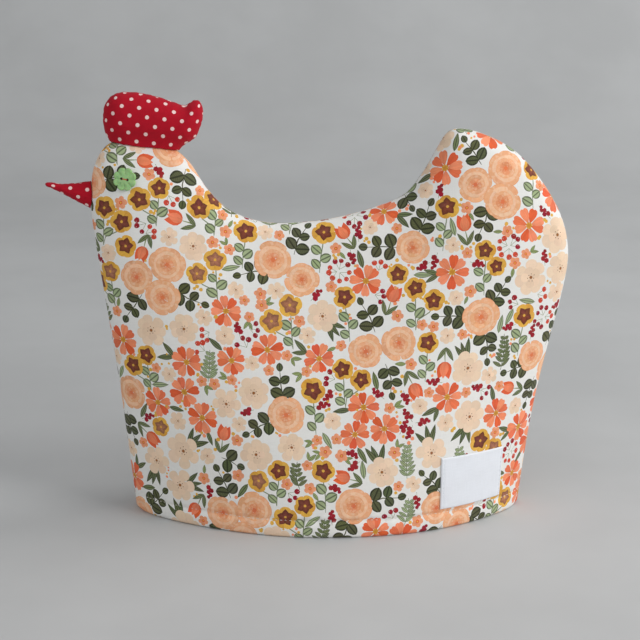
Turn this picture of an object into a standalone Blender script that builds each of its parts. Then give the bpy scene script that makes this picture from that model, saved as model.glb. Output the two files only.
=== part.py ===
"""Padded tea cosy in the outline of a sitting hen, standing on its open hem.

Two padded panels meet along the hen's profile in the plane y = 0. A stuffed comb and beak sit on that
seam, a flower button is the eye on each side, and a cotton label lies on the front panel.
Metres, +Z up, front panel towards -Y, origin at the middle of the footprint.
"""
import math

import bpy
import bmesh
import numpy as np
from mathutils.geometry import delaunay_2d_cdt

MM = 0.001

# ---- driving dimensions -------------------------------------------------------------------------
PIECE_GAP = 0.3 * MM            # clearance between sewn pieces
HALF_GAP = PIECE_GAP / 2
WALL = 5.5 * MM                 # cotton, wadding and inner cotton together
BASE_HALF_DEPTH = 60.5 * MM     # how far each panel stands out at the middle of the hem
SHOULDER = 7.5 * MM             # roll of the padded edge beside the seam
SWELL_POWER = 0.6               # how quickly a panel swells away from its seam
SWELL_EASE = 0.03               # softens the start of the swell at the seam
TOP_FLATTEN = 0.55              # share of the swell that is lost towards the top
FLATTEN_HEIGHT = 200 * MM       # height over which it is lost
TAIL_FULLNESS = 0.12            # extra swell on the tail's side
TAIL_REACH = 95 * MM            # distance from the middle at which it is full
HEM_STITCH_Z = 11 * MM          # topstitching above the hem's edge
HEM_GROOVE = 0.9 * MM           # how far the stitching draws the padding in
HEM_PUFF = 0.7 * MM             # how far the band below the stitching stands out
HEM_ROUND = 1.5 * MM            # rounding of the hem's outer edge
HEM_ROUND_IN = 1.1 * MM         # rounding of the hem's inner edge
SEAM_STEP = 6.2 * MM            # spacing of sections along the seam
FILL_STEP = 12.5 * MM           # spacing of points inside a panel

# profile of the hen where the two panels meet, from the front hem corner over head, saddle and tail
# columns: x, z in millimetres
PROFILE = [
    (-125.5, 0.0), (-129.6, 42.0), (-134.6, 90.0), (-140.3, 134.0), (-145.6, 174.0), (-147.9, 201.0),
    (-144.8, 226.0), (-134.8, 239.4), (-114.0, 239.4), (-97.0, 236.4), (-86.4, 227.4), (-75.5, 210.4),
    (-62.5, 197.3), (-43.0, 189.5), (-22.0, 188.4), (4.0, 191.3), (30.0, 198.2), (48.0, 206.2),
    (59.5, 220.4), (68.6, 236.2), (73.4, 244.2), (80.4, 247.4), (97.0, 243.8), (117.0, 233.0), (135.5, 212.4),
    (148.5, 189.0), (152.8, 167.0), (149.5, 141.0), (142.3, 109.0), (135.3, 75.0), (129.8, 38.0),
    (125.5, 0.0),
]
HEM_ROWS = [0.0, 1.2, 5.0, 9.0, 11.0, 13.0, 18.0, 26.0]        # heights of the rows of points at the hem, mm
OUTER_RINGS = [0.45, 1.5, 3.4, 6.6, 11.5]                      # distances of the rows beside the seam, mm
INNER_RINGS = [3.5, 9.0]                                       # the same inside, beyond the wall, mm
HEM_COLUMNS = 27                # points along each row of the hem, outside
HEM_COLUMNS_IN = 21             # and along its bottom edge, inside
NO_POINTS = np.empty((0, 2))

# free edge of the comb, from its front foot over the top to its back foot; columns: x, z in millimetres
COMB_EDGE = [
    (-135.2, 240.2), (-138.2, 247.6), (-138.7, 256.4), (-136.9, 264.4), (-131.4, 269.6), (-122.0, 270.9),
    (-106.5, 268.3), (-93.4, 263.9), (-87.9, 262.4), (-84.8, 264.5), (-81.8, 266.6), (-78.4, 264.4),
    (-76.9, 257.4), (-78.7, 249.4), (-82.6, 241.9), (-88.6, 238.4), (-92.3, 234.4),
]
COMB_HALF_THICK = 11.5 * MM
COMB_ROLL = 14 * MM
COMB_PINCH = 0.58               # share of its thickness left where it is sewn down
COMB_STEP = 3.0 * MM            # spacing of points along its edge
# free edge of the beak, from its upper foot round the tip to its lower foot; columns: x, z in millimetres
BEAK_EDGE = [
    (-146.5, 216.2), (-155.0, 214.9), (-166.0, 214.2), (-173.2, 215.3), (-176.2, 214.6), (-176.2, 212.9),
    (-173.2, 211.8), (-165.6, 207.9), (-157.4, 203.4), (-148.3, 198.2),
]
BEAK_HALF_THICK = 5.6 * MM
BEAK_ROLL = 7.5 * MM
BEAK_PINCH = 0.95
BEAK_STEP = 1.5 * MM
STUFFED_RINGS = [0.35, 1.3, 3.0]        # distances of the rows beside a stuffed piece's free edge, mm
SEAT_COLUMNS = [-1, -0.67, -0.34, 0, 0.34, 0.67, 1]     # columns of its sewn face, shares of half its depth
SEAT_FADE = 7 * MM              # height over which its foot widens over the panels' edge
SEAT_GAP = 0.52 * MM            # clearance from the seam's curve, which the panels' facets pass by a little

BUTTON_X = -125.0 * MM
BUTTON_Z = 219.1 * MM
BUTTON_RADIUS = 7.25 * MM
BUTTON_LOBES = 8
BUTTON_LOBE_DEPTH = 0.13        # notch depth as a share of the radius
BUTTON_HOLE_RADIUS = 0.85 * MM
BUTTON_HOLE_SPACING = 3.7 * MM
BUTTON_TURN = math.radians(18)
BUTTON_HOLE_TURN = math.radians(-12)
HOLE_SIDES = 12
# rounded side of the button from its back to its face; columns: share of the radius, height in mm
BUTTON_SECTIONS = [(0.93, 0.0), (1.0, 0.7), (1.0, 1.5), (0.955, 2.25), (0.86, 2.6)]

LABEL_X = 90.3 * MM             # centre of the label
LABEL_Z = 30.5 * MM
LABEL_WIDTH = 47.6 * MM         # along the cloth
LABEL_HEIGHT = 33.3 * MM
LABEL_THICK = 1.0 * MM
LABEL_CLEAR = 0.35 * MM         # from the cloth
LABEL_COLUMNS = 12
LABEL_ROWS = 7

# mean colours of the printed cotton, the dotted cotton, the buttons and the label
PRINTED = (0.86, 0.72, 0.62)
RED = (0.42, 0.01, 0.035)
GREEN = (0.16, 0.46, 0.17)
WHITE = (0.82, 0.83, 0.86)


# ---- curves -------------------------------------------------------------------------------------
def smooth_curve(rows, fine=24):
    """Centripetal Catmull-Rom curve through the rows, as many points in metres."""
    p = np.array(rows, float) * MM
    p = np.vstack([2 * p[0] - p[1], p, 2 * p[-1] - p[-2]])
    out = []
    for i in range(1, len(p) - 2):
        q = p[i - 1:i + 3]
        t = [0.0]
        for j in range(3):
            t.append(t[-1] + math.sqrt(np.linalg.norm(q[j + 1] - q[j])))
        s = np.linspace(t[1], t[2], fine, endpoint=False)[:, None]
        a1 = (t[1] - s) / (t[1] - t[0]) * q[0] + (s - t[0]) / (t[1] - t[0]) * q[1]
        a2 = (t[2] - s) / (t[2] - t[1]) * q[1] + (s - t[1]) / (t[2] - t[1]) * q[2]
        a3 = (t[3] - s) / (t[3] - t[2]) * q[2] + (s - t[2]) / (t[3] - t[2]) * q[3]
        b1 = (t[2] - s) / (t[2] - t[0]) * a1 + (s - t[0]) / (t[2] - t[0]) * a2
        b2 = (t[3] - s) / (t[3] - t[1]) * a2 + (s - t[1]) / (t[3] - t[1]) * a3
        out.append((t[2] - s) / (t[2] - t[1]) * b1 + (s - t[1]) / (t[2] - t[1]) * b2)
    return np.vstack(out + [p[-2:-1]])


def spaced(curve, step):
    """Points at equal steps of length along a curve, ends kept."""
    seg = np.linalg.norm(np.diff(curve, axis=0), axis=1)
    run = np.concatenate([[0], np.cumsum(seg)])
    n = max(2, round(run[-1] / step) + 1)
    at = np.linspace(0, run[-1], n)
    return np.stack([np.interp(at, run, curve[:, k]) for k in range(2)], axis=1)


def into_cloth(pts):
    """Unit normals on the right of the running direction, which is the cloth's side on the profile."""
    tangent = np.gradient(pts, axis=0)
    tangent /= np.linalg.norm(tangent, axis=1)[:, None]
    return np.stack([tangent[:, 1], -tangent[:, 0]], axis=1)


def distance_to(curve, pts):
    """Distance of each point from a polyline."""
    a, b = curve[:-1], curve[1:]
    ab = b - a
    best = np.full(len(pts), 1e9)
    for k in range(0, len(pts), 2000):
        ap = pts[k:k + 2000, None, :] - a[None]
        t = np.clip((ap * ab).sum(2) / (ab * ab).sum(1), 0, 1)
        gap = ap - t[..., None] * ab
        best[k:k + 2000] = np.sqrt((gap ** 2).sum(2)).min(1)
    return best


SEAM = smooth_curve(PROFILE)
SEAM_SAMPLES = spaced(SEAM, 2.5 * MM)
FOOT_L = np.linspace(0.0025, 0.16, 60)[:, None] * np.array([[0.10, -1.0]]) + SEAM[0]
FOOT_R = np.linspace(0.0025, 0.16, 60)[:, None] * np.array([[-0.10, -1.0]]) + SEAM[-1]
SWELL_SAMPLES = np.vstack([SEAM_SAMPLES, FOOT_L, FOOT_R])


def swell_distance(pts):
    """Smooth stand-in for the distance from the seam, without ridges along the middle."""
    out = np.empty(len(pts))
    for k in range(0, len(pts), 2000):
        gap = pts[k:k + 2000, None, :] - SWELL_SAMPLES[None]
        r2 = (gap ** 2).sum(2) + (0.8 * MM) ** 2
        out[k:k + 2000] = ((2.5 * MM / 2) * (r2 ** -1.5).sum(1)) ** -0.5
    return out


SWELL_AT_HEM = swell_distance(np.array([[0.0, 0.0]]))[0]


def smoothstep(t):
    t = np.clip(t, 0, 1)
    return t * t * (3 - 2 * t)


def roll(d, radius):
    """Quarter round that climbs from the seam to full height over the radius."""
    t = 1 - np.clip(d / radius, 0, 1)
    return np.sqrt(np.clip(1 - t * t, 0, 1))


def swell(pts):
    """How far a panel stands out from the shoulder."""
    top = 1 - TOP_FLATTEN * smoothstep(pts[:, 1] / FLATTEN_HEIGHT)
    reach = BASE_HALF_DEPTH - SHOULDER - HALF_GAP
    share = np.hypot(swell_distance(pts) / SWELL_AT_HEM, SWELL_EASE) ** SWELL_POWER
    floor = SWELL_EASE ** SWELL_POWER
    full = math.hypot(1, SWELL_EASE) ** SWELL_POWER
    fuller = 1 + TAIL_FULLNESS * smoothstep(pts[:, 0] / TAIL_REACH)
    return reach * top * fuller * (share - floor) / (full - floor)


def cloth_depth(pts):
    """Depth of the outer face from the plane of the seam, without the hem's detail."""
    return HALF_GAP + SHOULDER * roll(distance_to(SEAM, pts), SHOULDER) + swell(pts)


def outer_depth(pts):
    """Depth of the outer face with its drawn-in stitching, puffed band and rounded edge."""
    depth = cloth_depth(pts)
    d = distance_to(SEAM, pts)
    z = pts[:, 1]
    groove = np.exp(-((z - HEM_STITCH_Z) / (1.8 * MM)) ** 2)
    band = np.clip(np.sin(np.clip(z / HEM_STITCH_Z, 0, 1) * math.pi), 0, 1)
    edge = np.clip(1 - z / (1.2 * MM), 0, 1)
    relief = HEM_PUFF * band - HEM_GROOVE * groove - HEM_ROUND * edge
    depth = depth + relief * smoothstep(d / (9 * MM))
    return np.where(d < 1e-7, HALF_GAP, depth)


def inner_depth(pts):
    """Depth of the inner face: the outer one less the wall, closed down at the seam."""
    step = 1 * MM
    right = swell(pts + [step, 0])
    up = swell(pts + [0, step])
    here = swell(pts)
    slope = np.hypot(right - here, up - here) / step
    d = distance_to(SEAM, pts)
    edge = np.clip(1 - pts[:, 1] / (1.2 * MM), 0, 1)
    wall = WALL * np.sqrt(1 + np.clip(slope, 0, 1.2) ** 2) - HEM_ROUND_IN * edge
    room = np.clip(cloth_depth(pts) - wall - HALF_GAP, 0, None)
    return HALF_GAP + room * smoothstep((d - WALL) / (9 * MM))


# ---- meshes -------------------------------------------------------------------------------------
def fill(loop, inside):
    """Triangles that fill a closed loop, using the given points inside it."""
    coords = [tuple(p) for p in np.vstack([loop, inside])]
    n = len(loop)
    verts, _, faces, source, _, _ = delaunay_2d_cdt(coords, [], [list(range(n))], 1, 1e-9)
    if len(verts) != len(coords):
        raise ValueError("an outline crosses itself or two of its points meet")
    index = [ids[0] for ids in source]
    return [[index[v] for v in face] for face in faces]


class Shell:
    """Collects corner-matched patches of one closed solid."""

    def __init__(self):
        self.bm = bmesh.new()

    def patch(self, points, faces, flip):
        verts = [self.bm.verts.new(p) for p in points]
        for face in faces:
            ring = [verts[i] for i in face]
            self.bm.faces.new(ring[::-1] if flip else ring)

    def finish(self, name, colour, roughness, sharp_angle):
        bmesh.ops.remove_doubles(self.bm, verts=self.bm.verts, dist=2e-6)
        bmesh.ops.triangulate(self.bm, faces=self.bm.faces)
        bmesh.ops.recalc_face_normals(self.bm, faces=self.bm.faces)
        if self.bm.calc_volume(signed=True) < 0:
            bmesh.ops.reverse_faces(self.bm, faces=self.bm.faces)
        mesh = bpy.data.meshes.new(name)
        self.bm.to_mesh(mesh)
        self.bm.free()
        mesh.shade_smooth()
        mesh.set_sharp_from_angle(angle=math.radians(sharp_angle))
        obj = bpy.data.objects.new(name, mesh)
        bpy.context.scene.collection.objects.link(obj)
        mesh.materials.append(principled(name, colour, roughness))
        return obj


def principled(name, colour, roughness):
    material = bpy.data.materials.new(name)
    material.use_nodes = True
    shader = material.node_tree.nodes["Principled BSDF"]
    shader.inputs["Base Color"].default_value = (*colour, 1.0)
    shader.inputs["Roughness"].default_value = roughness
    shader.inputs["Metallic"].default_value = 0.0
    return material


def seam_x(side, z):
    """x of the side seam at a height near the hem, on the left (-1) or right (+1)."""
    run = SEAM[:40] if side < 0 else SEAM[::-1][:40]
    return float(np.interp(z, run[:, 1], run[:, 0]))


def seam_points():
    """Points along the seam: the hem's rows at each end and equal steps between."""
    top_row = HEM_ROWS[-1] * MM
    left = [(seam_x(-1, z * MM), z * MM) for z in HEM_ROWS]
    right = [(seam_x(1, z * MM), z * MM) for z in HEM_ROWS]
    keep = (SEAM[:, 1] > top_row + 0.1 * MM)
    middle = np.vstack([left[-1:], SEAM[keep], right[-1:]])
    return np.vstack([left[:-1], spaced(middle, SEAM_STEP), right[::-1][1:]])


def moved_in(pts, offset):
    """The seam's points moved into the cloth, those of the hem's rows kept at their heights."""
    out = pts + into_cloth(pts) * offset
    rows = len(HEM_ROWS)
    for i in range(rows):
        for j, side in ((i, -1), (len(pts) - 1 - i, 1)):
            out[j] = (pts[j][0] - side * offset / math.cos(math.radians(6)), HEM_ROWS[i] * MM)
    return out


def inside_points(rings, base, fill_step):
    """Rows of points beside the seam and along the hem, and a staggered field between."""
    pts = seam_points()
    kept = []
    for ring in rings:
        offset = base + ring * MM
        row = moved_in(pts, offset)
        kept.append(row[(distance_to(SEAM, row) > 0.96 * offset) & (row[:, 1] > 0.5 * MM)])
    rows = [np.stack([np.linspace(seam_x(-1, z * MM), seam_x(1, z * MM), HEM_COLUMNS),
                      np.full(HEM_COLUMNS, z * MM)], axis=1) for z in HEM_ROWS[1:]]
    low = SEAM.min(0) + [0, HEM_ROWS[-1] * MM + 0.3 * fill_step]
    field = np.vstack(rows + [staggered(low, SEAM.max(0), fill_step)])
    field = only_inside(SEAM, field)
    clear = base + rings[-1] * MM + 0.5 * fill_step
    return np.vstack(kept + [field[distance_to(SEAM, field) > clear]])


def hem_line(seam, edge_offsets, count):
    """Points of the hem's bottom edge between the two ends of a seam, closer together at the ends."""
    left, right = seam[0][0], seam[-1][0]
    clear = (edge_offsets[-1] + 4.0) * MM
    x = np.concatenate([[left + o * MM for o in edge_offsets], np.linspace(left + clear, right - clear, count),
                        [right - o * MM for o in edge_offsets[::-1]]])
    return np.stack([x, 0 * x], axis=1)


def panel(name, side, colour):
    """One padded panel; side -1 is the front, +1 the back."""
    shell = Shell()
    outer_seam = seam_points()
    inner_seam = moved_in(outer_seam, WALL)
    bottoms = []
    faces_of_cloth = (
        (outer_seam, OUTER_RINGS[:4], HEM_COLUMNS, OUTER_RINGS, 0.0, FILL_STEP, outer_depth, False),
        (inner_seam, INNER_RINGS[:1], HEM_COLUMNS_IN, INNER_RINGS, WALL, 1.25 * FILL_STEP, inner_depth, True))
    for seam, offsets, count, rings, base, step, depth_of, flip in faces_of_cloth:
        hem = hem_line(seam, offsets, count)
        loop = np.vstack([seam, hem[::-1]])
        inside = inside_points(rings, base, step)
        pts = np.vstack([loop, inside])
        depth = depth_of(pts)
        depth[:len(seam)] = HALF_GAP
        shell.patch([(p[0], side * d, p[1]) for p, d in zip(pts, depth)], fill(loop, inside), flip)
        bottom = np.stack([hem[:, 0], depth[len(seam):len(loop)][::-1]], axis=1)
        bottoms.append(np.vstack([[seam[0][0], HALF_GAP], bottom, [seam[-1][0], HALF_GAP]]))

    seam_face = np.vstack([outer_seam, inner_seam[::-1]])
    shell.patch([(p[0], side * HALF_GAP, p[1]) for p in seam_face], fill(seam_face, NO_POINTS), False)
    hem_face = np.vstack([bottoms[0], bottoms[1][::-1]])
    shell.patch([(p[0], side * p[1], 0.0) for p in hem_face], fill(hem_face, NO_POINTS), False)
    return shell.finish(name, colour, 0.9, 40.0)


def rim_drop(foot, inward, y):
    """How far below the seam the panel's rounded edge lies at the depth y, measured along inward."""
    low, high = 0.0, 1.2 * SHOULDER
    for _ in range(18):
        middle = (low + high) / 2
        if cloth_depth(np.array([foot + inward * middle]))[0] < y:
            low = middle
        else:
            high = middle
    return low


def inside_loop(loop, p):
    """True for a point inside a closed loop."""
    x, z = loop[:, 0], loop[:, 1]
    x2, z2 = np.roll(x, -1), np.roll(z, -1)
    crosses = (z > p[1]) != (z2 > p[1])
    with np.errstate(divide="ignore", invalid="ignore"):
        at = x + (p[1] - z) / (z2 - z) * (x2 - x)
    return bool(np.count_nonzero(crosses & (p[0] < at)) % 2)


def only_inside(loop, pts):
    return pts[np.array([inside_loop(loop, p) for p in pts])]


def staggered(low, high, step):
    """Rows of points over a box, every other row moved by half a step."""
    rows = np.arange(low[1] + step / 2, high[1], 0.87 * step)
    return np.array([(x, z) for k, z in enumerate(rows)
                     for x in np.arange(low[0] + (k % 2) * step / 2, high[0], step)])


def seat_on_seam(start, end, step):
    """Points just outside the seam between two places, in that order, with the directions into the cloth."""
    i, j = (int(np.argmin(np.linalg.norm(SEAM - q, axis=1))) for q in (start, end))
    run = SEAM[min(i, j):max(i, j) + 1]
    inward = into_cloth(run)
    if i > j:
        run, inward = run[::-1], inward[::-1]
    seat = spaced(run - inward * SEAT_GAP, step)
    nearest = [int(np.argmin(np.linalg.norm(run - q, axis=1))) for q in seat]
    return seat, inward[nearest]


def stuffed(name, edge_rows, half_thick, edge_roll, pinch, step, colour):
    """Stuffed shape sewn on the seam: rounded at its free edge, and seated on the panels' edge."""
    edge = spaced(smooth_curve(edge_rows), step)
    seat, inward = seat_on_seam(edge[0], edge[-1], step)
    edge[0], edge[-1] = seat[0], seat[-1]
    loop = np.vstack([edge, seat[::-1][1:-1]])

    side = 1 if inside_loop(loop, edge[len(edge) // 2] + into_cloth(edge)[len(edge) // 2] * 0.5 * MM) else -1
    rings = []
    for offset in STUFFED_RINGS:
        ring = (edge + side * into_cloth(edge) * offset * MM)[1:-1]
        rings.append(ring[distance_to(edge, ring) > 0.97 * offset * MM])
    rings = only_inside(loop, np.vstack(rings))
    rings = rings[distance_to(seat, rings) > 0.4 * STUFFED_RINGS[-1] * MM]
    field = only_inside(loop, staggered(loop.min(0), loop.max(0), step))
    field = field[distance_to(edge, field) > (STUFFED_RINGS[-1] + 2) * MM]
    field = field[distance_to(seat, field) > 0.5 * step]
    pts = np.vstack([loop, rings, field])
    faces = fill(loop, pts[len(loop):])

    away = distance_to(seat, pts)
    full = pinch + (1 - pinch) * smoothstep(away / (0.75 * edge_roll))
    thick = half_thick * roll(distance_to(edge, pts), edge_roll) * full
    thick[:len(edge)] = 0.0
    nearest = [int(np.argmin(np.linalg.norm(seat - p, axis=1))) for p in pts]
    drop = np.array([rim_drop(seat[n] + inward[n] * SEAT_GAP, inward[n], t) for n, t in zip(nearest, thick)])
    placed = pts + inward[nearest] * (drop * (1 - smoothstep(away / SEAT_FADE)))[:, None]

    shell = Shell()
    for sign in (-1, 1):
        shell.patch([(p[0], sign * t, p[1]) for p, t in zip(placed, thick)], faces, sign > 0)

    # the face that is sewn down, in columns across the thickness
    columns = [[(placed[0][0], 0.0, placed[0][1])] * len(SEAT_COLUMNS)]
    for n in range(1, len(seat) - 1):
        half = thick[len(loop) - n]
        column = []
        for share in SEAT_COLUMNS:
            fall = rim_drop(seat[n] + inward[n] * SEAT_GAP, inward[n], abs(share * half))
            q = seat[n] + inward[n] * fall
            column.append((q[0], share * half, q[1]))
        columns.append(column)
    columns.append([(placed[len(edge) - 1][0], 0.0, placed[len(edge) - 1][1])] * len(SEAT_COLUMNS))
    for a, b in zip(columns[:-1], columns[1:]):
        for c in range(len(SEAT_COLUMNS) - 1):
            quad = [a[c], a[c + 1], b[c + 1], b[c]]
            corners = [q for m, q in enumerate(quad) if q not in quad[:m]]
            if len(corners) > 2:
                shell.patch(corners, [list(range(len(corners)))], False)
    return shell.finish(name, colour, 0.85, 60.0)


def frame_at(x, z, side):
    """Point on the outer cloth, with its outward normal and the two directions in the cloth."""
    h = 1.5 * MM
    here, right, up = cloth_depth(np.array([[x, z], [x + h, z], [x, z + h]]))
    along = np.array([h, side * (right - here), 0.0])
    rise = np.array([0.0, side * (up - here), h])
    along /= np.linalg.norm(along)
    normal = np.cross(along, rise)
    normal /= np.linalg.norm(normal)
    if normal[1] * side < 0:
        normal = -normal
    rise = np.cross(normal, along) if side < 0 else -np.cross(normal, along)
    if rise[2] < 0:
        rise = -rise
    return np.array([x, side * here, z]), normal, along, rise


def button(name, side, colour):
    """Lobed flower button with two holes, lying on the cloth."""
    shell = Shell()
    origin, normal, along, rise = frame_at(BUTTON_X, BUTTON_Z, side)
    steps = 10 * BUTTON_LOBES
    angle = np.linspace(0, 2 * math.pi, steps, endpoint=False)
    lobe = np.abs(np.cos(BUTTON_LOBES * (angle - BUTTON_TURN) / 2)) ** 0.55
    radius = BUTTON_RADIUS * (1 - BUTTON_LOBE_DEPTH * (1 - lobe))
    outline = np.stack([radius * np.cos(angle), radius * np.sin(angle)], 1)
    hole_angle = np.linspace(0, 2 * math.pi, HOLE_SIDES, endpoint=False)
    hole = BUTTON_HOLE_RADIUS * np.stack([np.cos(hole_angle), np.sin(hole_angle)], 1)
    thread_line = np.array([math.cos(BUTTON_HOLE_TURN), math.sin(BUTTON_HOLE_TURN)])
    holes = [hole + end * BUTTON_HOLE_SPACING / 2 * thread_line for end in (-1, 1)]

    def at(flat, height):
        return [tuple(origin + normal * (PIECE_GAP + height) + along * p[0] + rise * p[1]) for p in flat]

    def wall(low, high):
        count = len(low)
        quads = [[k, (k + 1) % count, count + (k + 1) % count, count + k] for k in range(count)]
        shell.patch(low + high, quads, False)

    for (low_scale, low), (high_scale, high) in zip(BUTTON_SECTIONS[:-1], BUTTON_SECTIONS[1:]):
        wall(at(outline * low_scale, low * MM), at(outline * high_scale, high * MM))
    top = BUTTON_SECTIONS[-1][1] * MM
    for h in holes:
        wall(at(h[::-1], 0.0), at(h[::-1], top))
    loops = [list(range(steps)), list(range(steps, steps + HOLE_SIDES)),
             list(range(steps + HOLE_SIDES, steps + 2 * HOLE_SIDES))]
    edges = [(a, b) for ids in loops for a, b in zip(ids, ids[1:] + ids[:1])]
    for scale, height in (BUTTON_SECTIONS[0], BUTTON_SECTIONS[-1]):
        flat = np.vstack([outline * scale] + holes)
        _, _, faces, source, _, _ = delaunay_2d_cdt([tuple(p) for p in flat], edges, [], 0, 1e-9)
        faces = [[source[v][0] for v in face] for face in faces]
        face_in = [f for f in faces if inside_loop(outline * scale, flat[f].mean(0))
                   and not any(set(f) <= set(ids) for ids in loops[1:])]
        shell.patch(at(flat, height * MM), face_in, height == 0.0)
    return shell.finish(name, colour, 0.35, 35.0)


def label(name, colour):
    """Thin cotton label that follows the front panel."""
    shell = Shell()
    xs = walk_x(LABEL_X, LABEL_Z, LABEL_WIDTH, LABEL_COLUMNS)
    zs = LABEL_Z + np.linspace(-0.5, 0.5, LABEL_ROWS) * LABEL_HEIGHT
    low, high = [], []
    for z in zs:
        for x in xs:
            origin, normal, _, _ = frame_at(x, z, -1)
            low.append(tuple(origin + normal * LABEL_CLEAR))
            high.append(tuple(origin + normal * (LABEL_CLEAR + LABEL_THICK)))
    c = LABEL_COLUMNS
    quads = [[v * c + u, v * c + u + 1, (v + 1) * c + u + 1, (v + 1) * c + u]
             for v in range(LABEL_ROWS - 1) for u in range(c - 1)]
    shell.patch(low, quads, False)
    shell.patch(high, quads, True)
    rim = list(range(c)) + [v * c + c - 1 for v in range(1, LABEL_ROWS)]
    rim += [(LABEL_ROWS - 1) * c + u for u in range(c - 2, -1, -1)]
    rim += [v * c for v in range(LABEL_ROWS - 2, 0, -1)]
    for a, b in zip(rim, rim[1:] + rim[:1]):
        shell.patch([low[a], low[b], high[b], high[a]], [[0, 1, 2, 3]], False)
    return shell.finish(name, colour, 0.8, 35.0)


def walk_x(centre, z, width, count):
    """x of points at equal steps measured along the curved cloth at one height."""
    x = np.linspace(centre - width, centre + width, 400)
    y = cloth_depth(np.stack([x, np.full_like(x, z)], 1))
    run = np.concatenate([[0], np.cumsum(np.hypot(np.diff(x), np.diff(y)))])
    mid = np.interp(centre, x, run)
    return np.interp(mid + np.linspace(-0.5, 0.5, count) * width, run, x)


def centre_on_footprint(objects):
    """Moves the whole cosy so that the middle of its box lies over the origin."""
    xs = [v.co.x for o in objects for v in o.data.vertices]
    shift = -(min(xs) + max(xs)) / 2
    for o in objects:
        for v in o.data.vertices:
            v.co.x += shift
        o.data.update()
    return shift


def main():
    for old in list(bpy.data.objects):
        bpy.data.objects.remove(old, do_unlink=True)
    pieces = [
        panel("front_panel", -1, PRINTED),
        panel("back_panel", 1, PRINTED),
        stuffed("comb", COMB_EDGE, COMB_HALF_THICK, COMB_ROLL, COMB_PINCH, COMB_STEP, RED),
        stuffed("beak", BEAK_EDGE, BEAK_HALF_THICK, BEAK_ROLL, BEAK_PINCH, BEAK_STEP, RED),
        button("eye_button", -1, GREEN),
        button("eye_button_back", 1, GREEN),
        label("label", WHITE),
    ]
    centre_on_footprint(pieces)


main()
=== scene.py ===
"""Looks of the padded hen tea cosy: printed cotton panels, dotted comb and beak, button eyes, bare label.

The panels are drawn out flat, printed with generic flowers and leaves, and laid over the padded form.
Lengths are metres in the model and millimetres on the flat cloth and in the drawings.
"""
import math
from collections import namedtuple

import bpy
import bmesh
import numpy as np
from mathutils import Matrix, Vector
from mathutils.geometry import delaunay_2d_cdt


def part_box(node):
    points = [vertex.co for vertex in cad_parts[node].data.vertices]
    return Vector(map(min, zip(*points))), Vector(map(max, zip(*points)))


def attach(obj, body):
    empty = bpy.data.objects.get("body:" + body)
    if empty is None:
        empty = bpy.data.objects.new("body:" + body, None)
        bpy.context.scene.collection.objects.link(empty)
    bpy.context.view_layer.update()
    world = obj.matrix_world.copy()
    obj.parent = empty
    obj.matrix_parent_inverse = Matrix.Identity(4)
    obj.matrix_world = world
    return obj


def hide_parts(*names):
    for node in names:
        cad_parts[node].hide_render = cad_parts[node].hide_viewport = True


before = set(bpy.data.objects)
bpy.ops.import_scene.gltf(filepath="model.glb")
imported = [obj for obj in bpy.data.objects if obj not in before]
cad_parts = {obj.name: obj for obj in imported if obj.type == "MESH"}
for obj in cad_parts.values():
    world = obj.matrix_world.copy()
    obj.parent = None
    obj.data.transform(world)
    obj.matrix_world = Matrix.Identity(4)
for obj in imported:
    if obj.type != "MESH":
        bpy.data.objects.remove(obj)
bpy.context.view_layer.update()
MM = 0.001

# ---- form of the cosy, as in the part's construction ---------------------------------------------
HALF_GAP = 0.15 * MM
WALL = 5.5 * MM
BASE_HALF_DEPTH = 60.5 * MM
SHOULDER = 7.5 * MM             # roll of the padded edge beside the seam
SWELL_POWER = 0.6
SWELL_EASE = 0.03
TOP_FLATTEN = 0.55
FLATTEN_HEIGHT = 200 * MM
TAIL_FULLNESS = 0.12
TAIL_REACH = 95 * MM
HEM_STITCH_Z = 11 * MM
PROFILE = [
    (-125.5, 0.0), (-129.6, 42.0), (-134.6, 90.0), (-140.3, 134.0), (-145.6, 174.0), (-147.9, 201.0),
    (-144.8, 226.0), (-134.8, 239.4), (-114.0, 239.4), (-97.0, 236.4), (-86.4, 227.4), (-75.5, 210.4),
    (-62.5, 197.3), (-43.0, 189.5), (-22.0, 188.4), (4.0, 191.3), (30.0, 198.2), (48.0, 206.2),
    (59.5, 220.4), (68.6, 236.2), (73.4, 244.2), (80.4, 247.4), (97.0, 243.8), (117.0, 233.0), (135.5, 212.4),
    (148.5, 189.0), (152.8, 167.0), (149.5, 141.0), (142.3, 109.0), (135.3, 75.0), (129.8, 38.0),
    (125.5, 0.0),
]

# ---- finer form of the cloth ---------------------------------------------------------------------
HEM_RADIUS = 2.75 * MM          # half round over the folded hem
HEM_GROOVE = 1.05 * MM          # how far the topstitching draws the padding in
HEM_GROOVE_WIDTH = 1.5 * MM
HEM_PUFF = 0.85 * MM
HEM_FULLNESS = 0.85             # power under 1 makes the turn of the hem fuller than a half round
HEM_PUCKER = 0.24 * MM          # unevenness of the padding along the topstitching
SEAM_PUCKER = 0.22 * MM         # and beside the seam
CLOTH_STEP = 3.0                # mm between points of the flat cloth
RIM_STEPS = [0.0, 0.9, 1.9, 3.1, 4.5, 6.1, 8.0, 10.0, 12.2]     # mm from the seam, along the cloth
INNER_STEP = 7.0 * MM
INNER_FOOT = 4.2 * MM           # lowest row of the inner face

FRONT, BACK = -1, 1


# ---- curves and small helpers --------------------------------------------------------------------
def smoothstep(t):
    t = np.clip(t, 0, 1)
    return t * t * (3 - 2 * t)


def way(angle):
    """Unit step in a direction."""
    return np.array([math.cos(angle), math.sin(angle)])


def around(count):
    """Angles at equal steps all round."""
    return np.linspace(0, 2 * math.pi, count, endpoint=False)


def circle(angles, radius):
    return np.stack([radius * np.cos(angles), radius * np.sin(angles)], axis=1)


def turned(points, angle):
    """Points turned counter-clockwise about the origin."""
    c, s = way(angle)
    return np.asarray(points) @ np.array([[c, s], [-s, c]])


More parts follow.
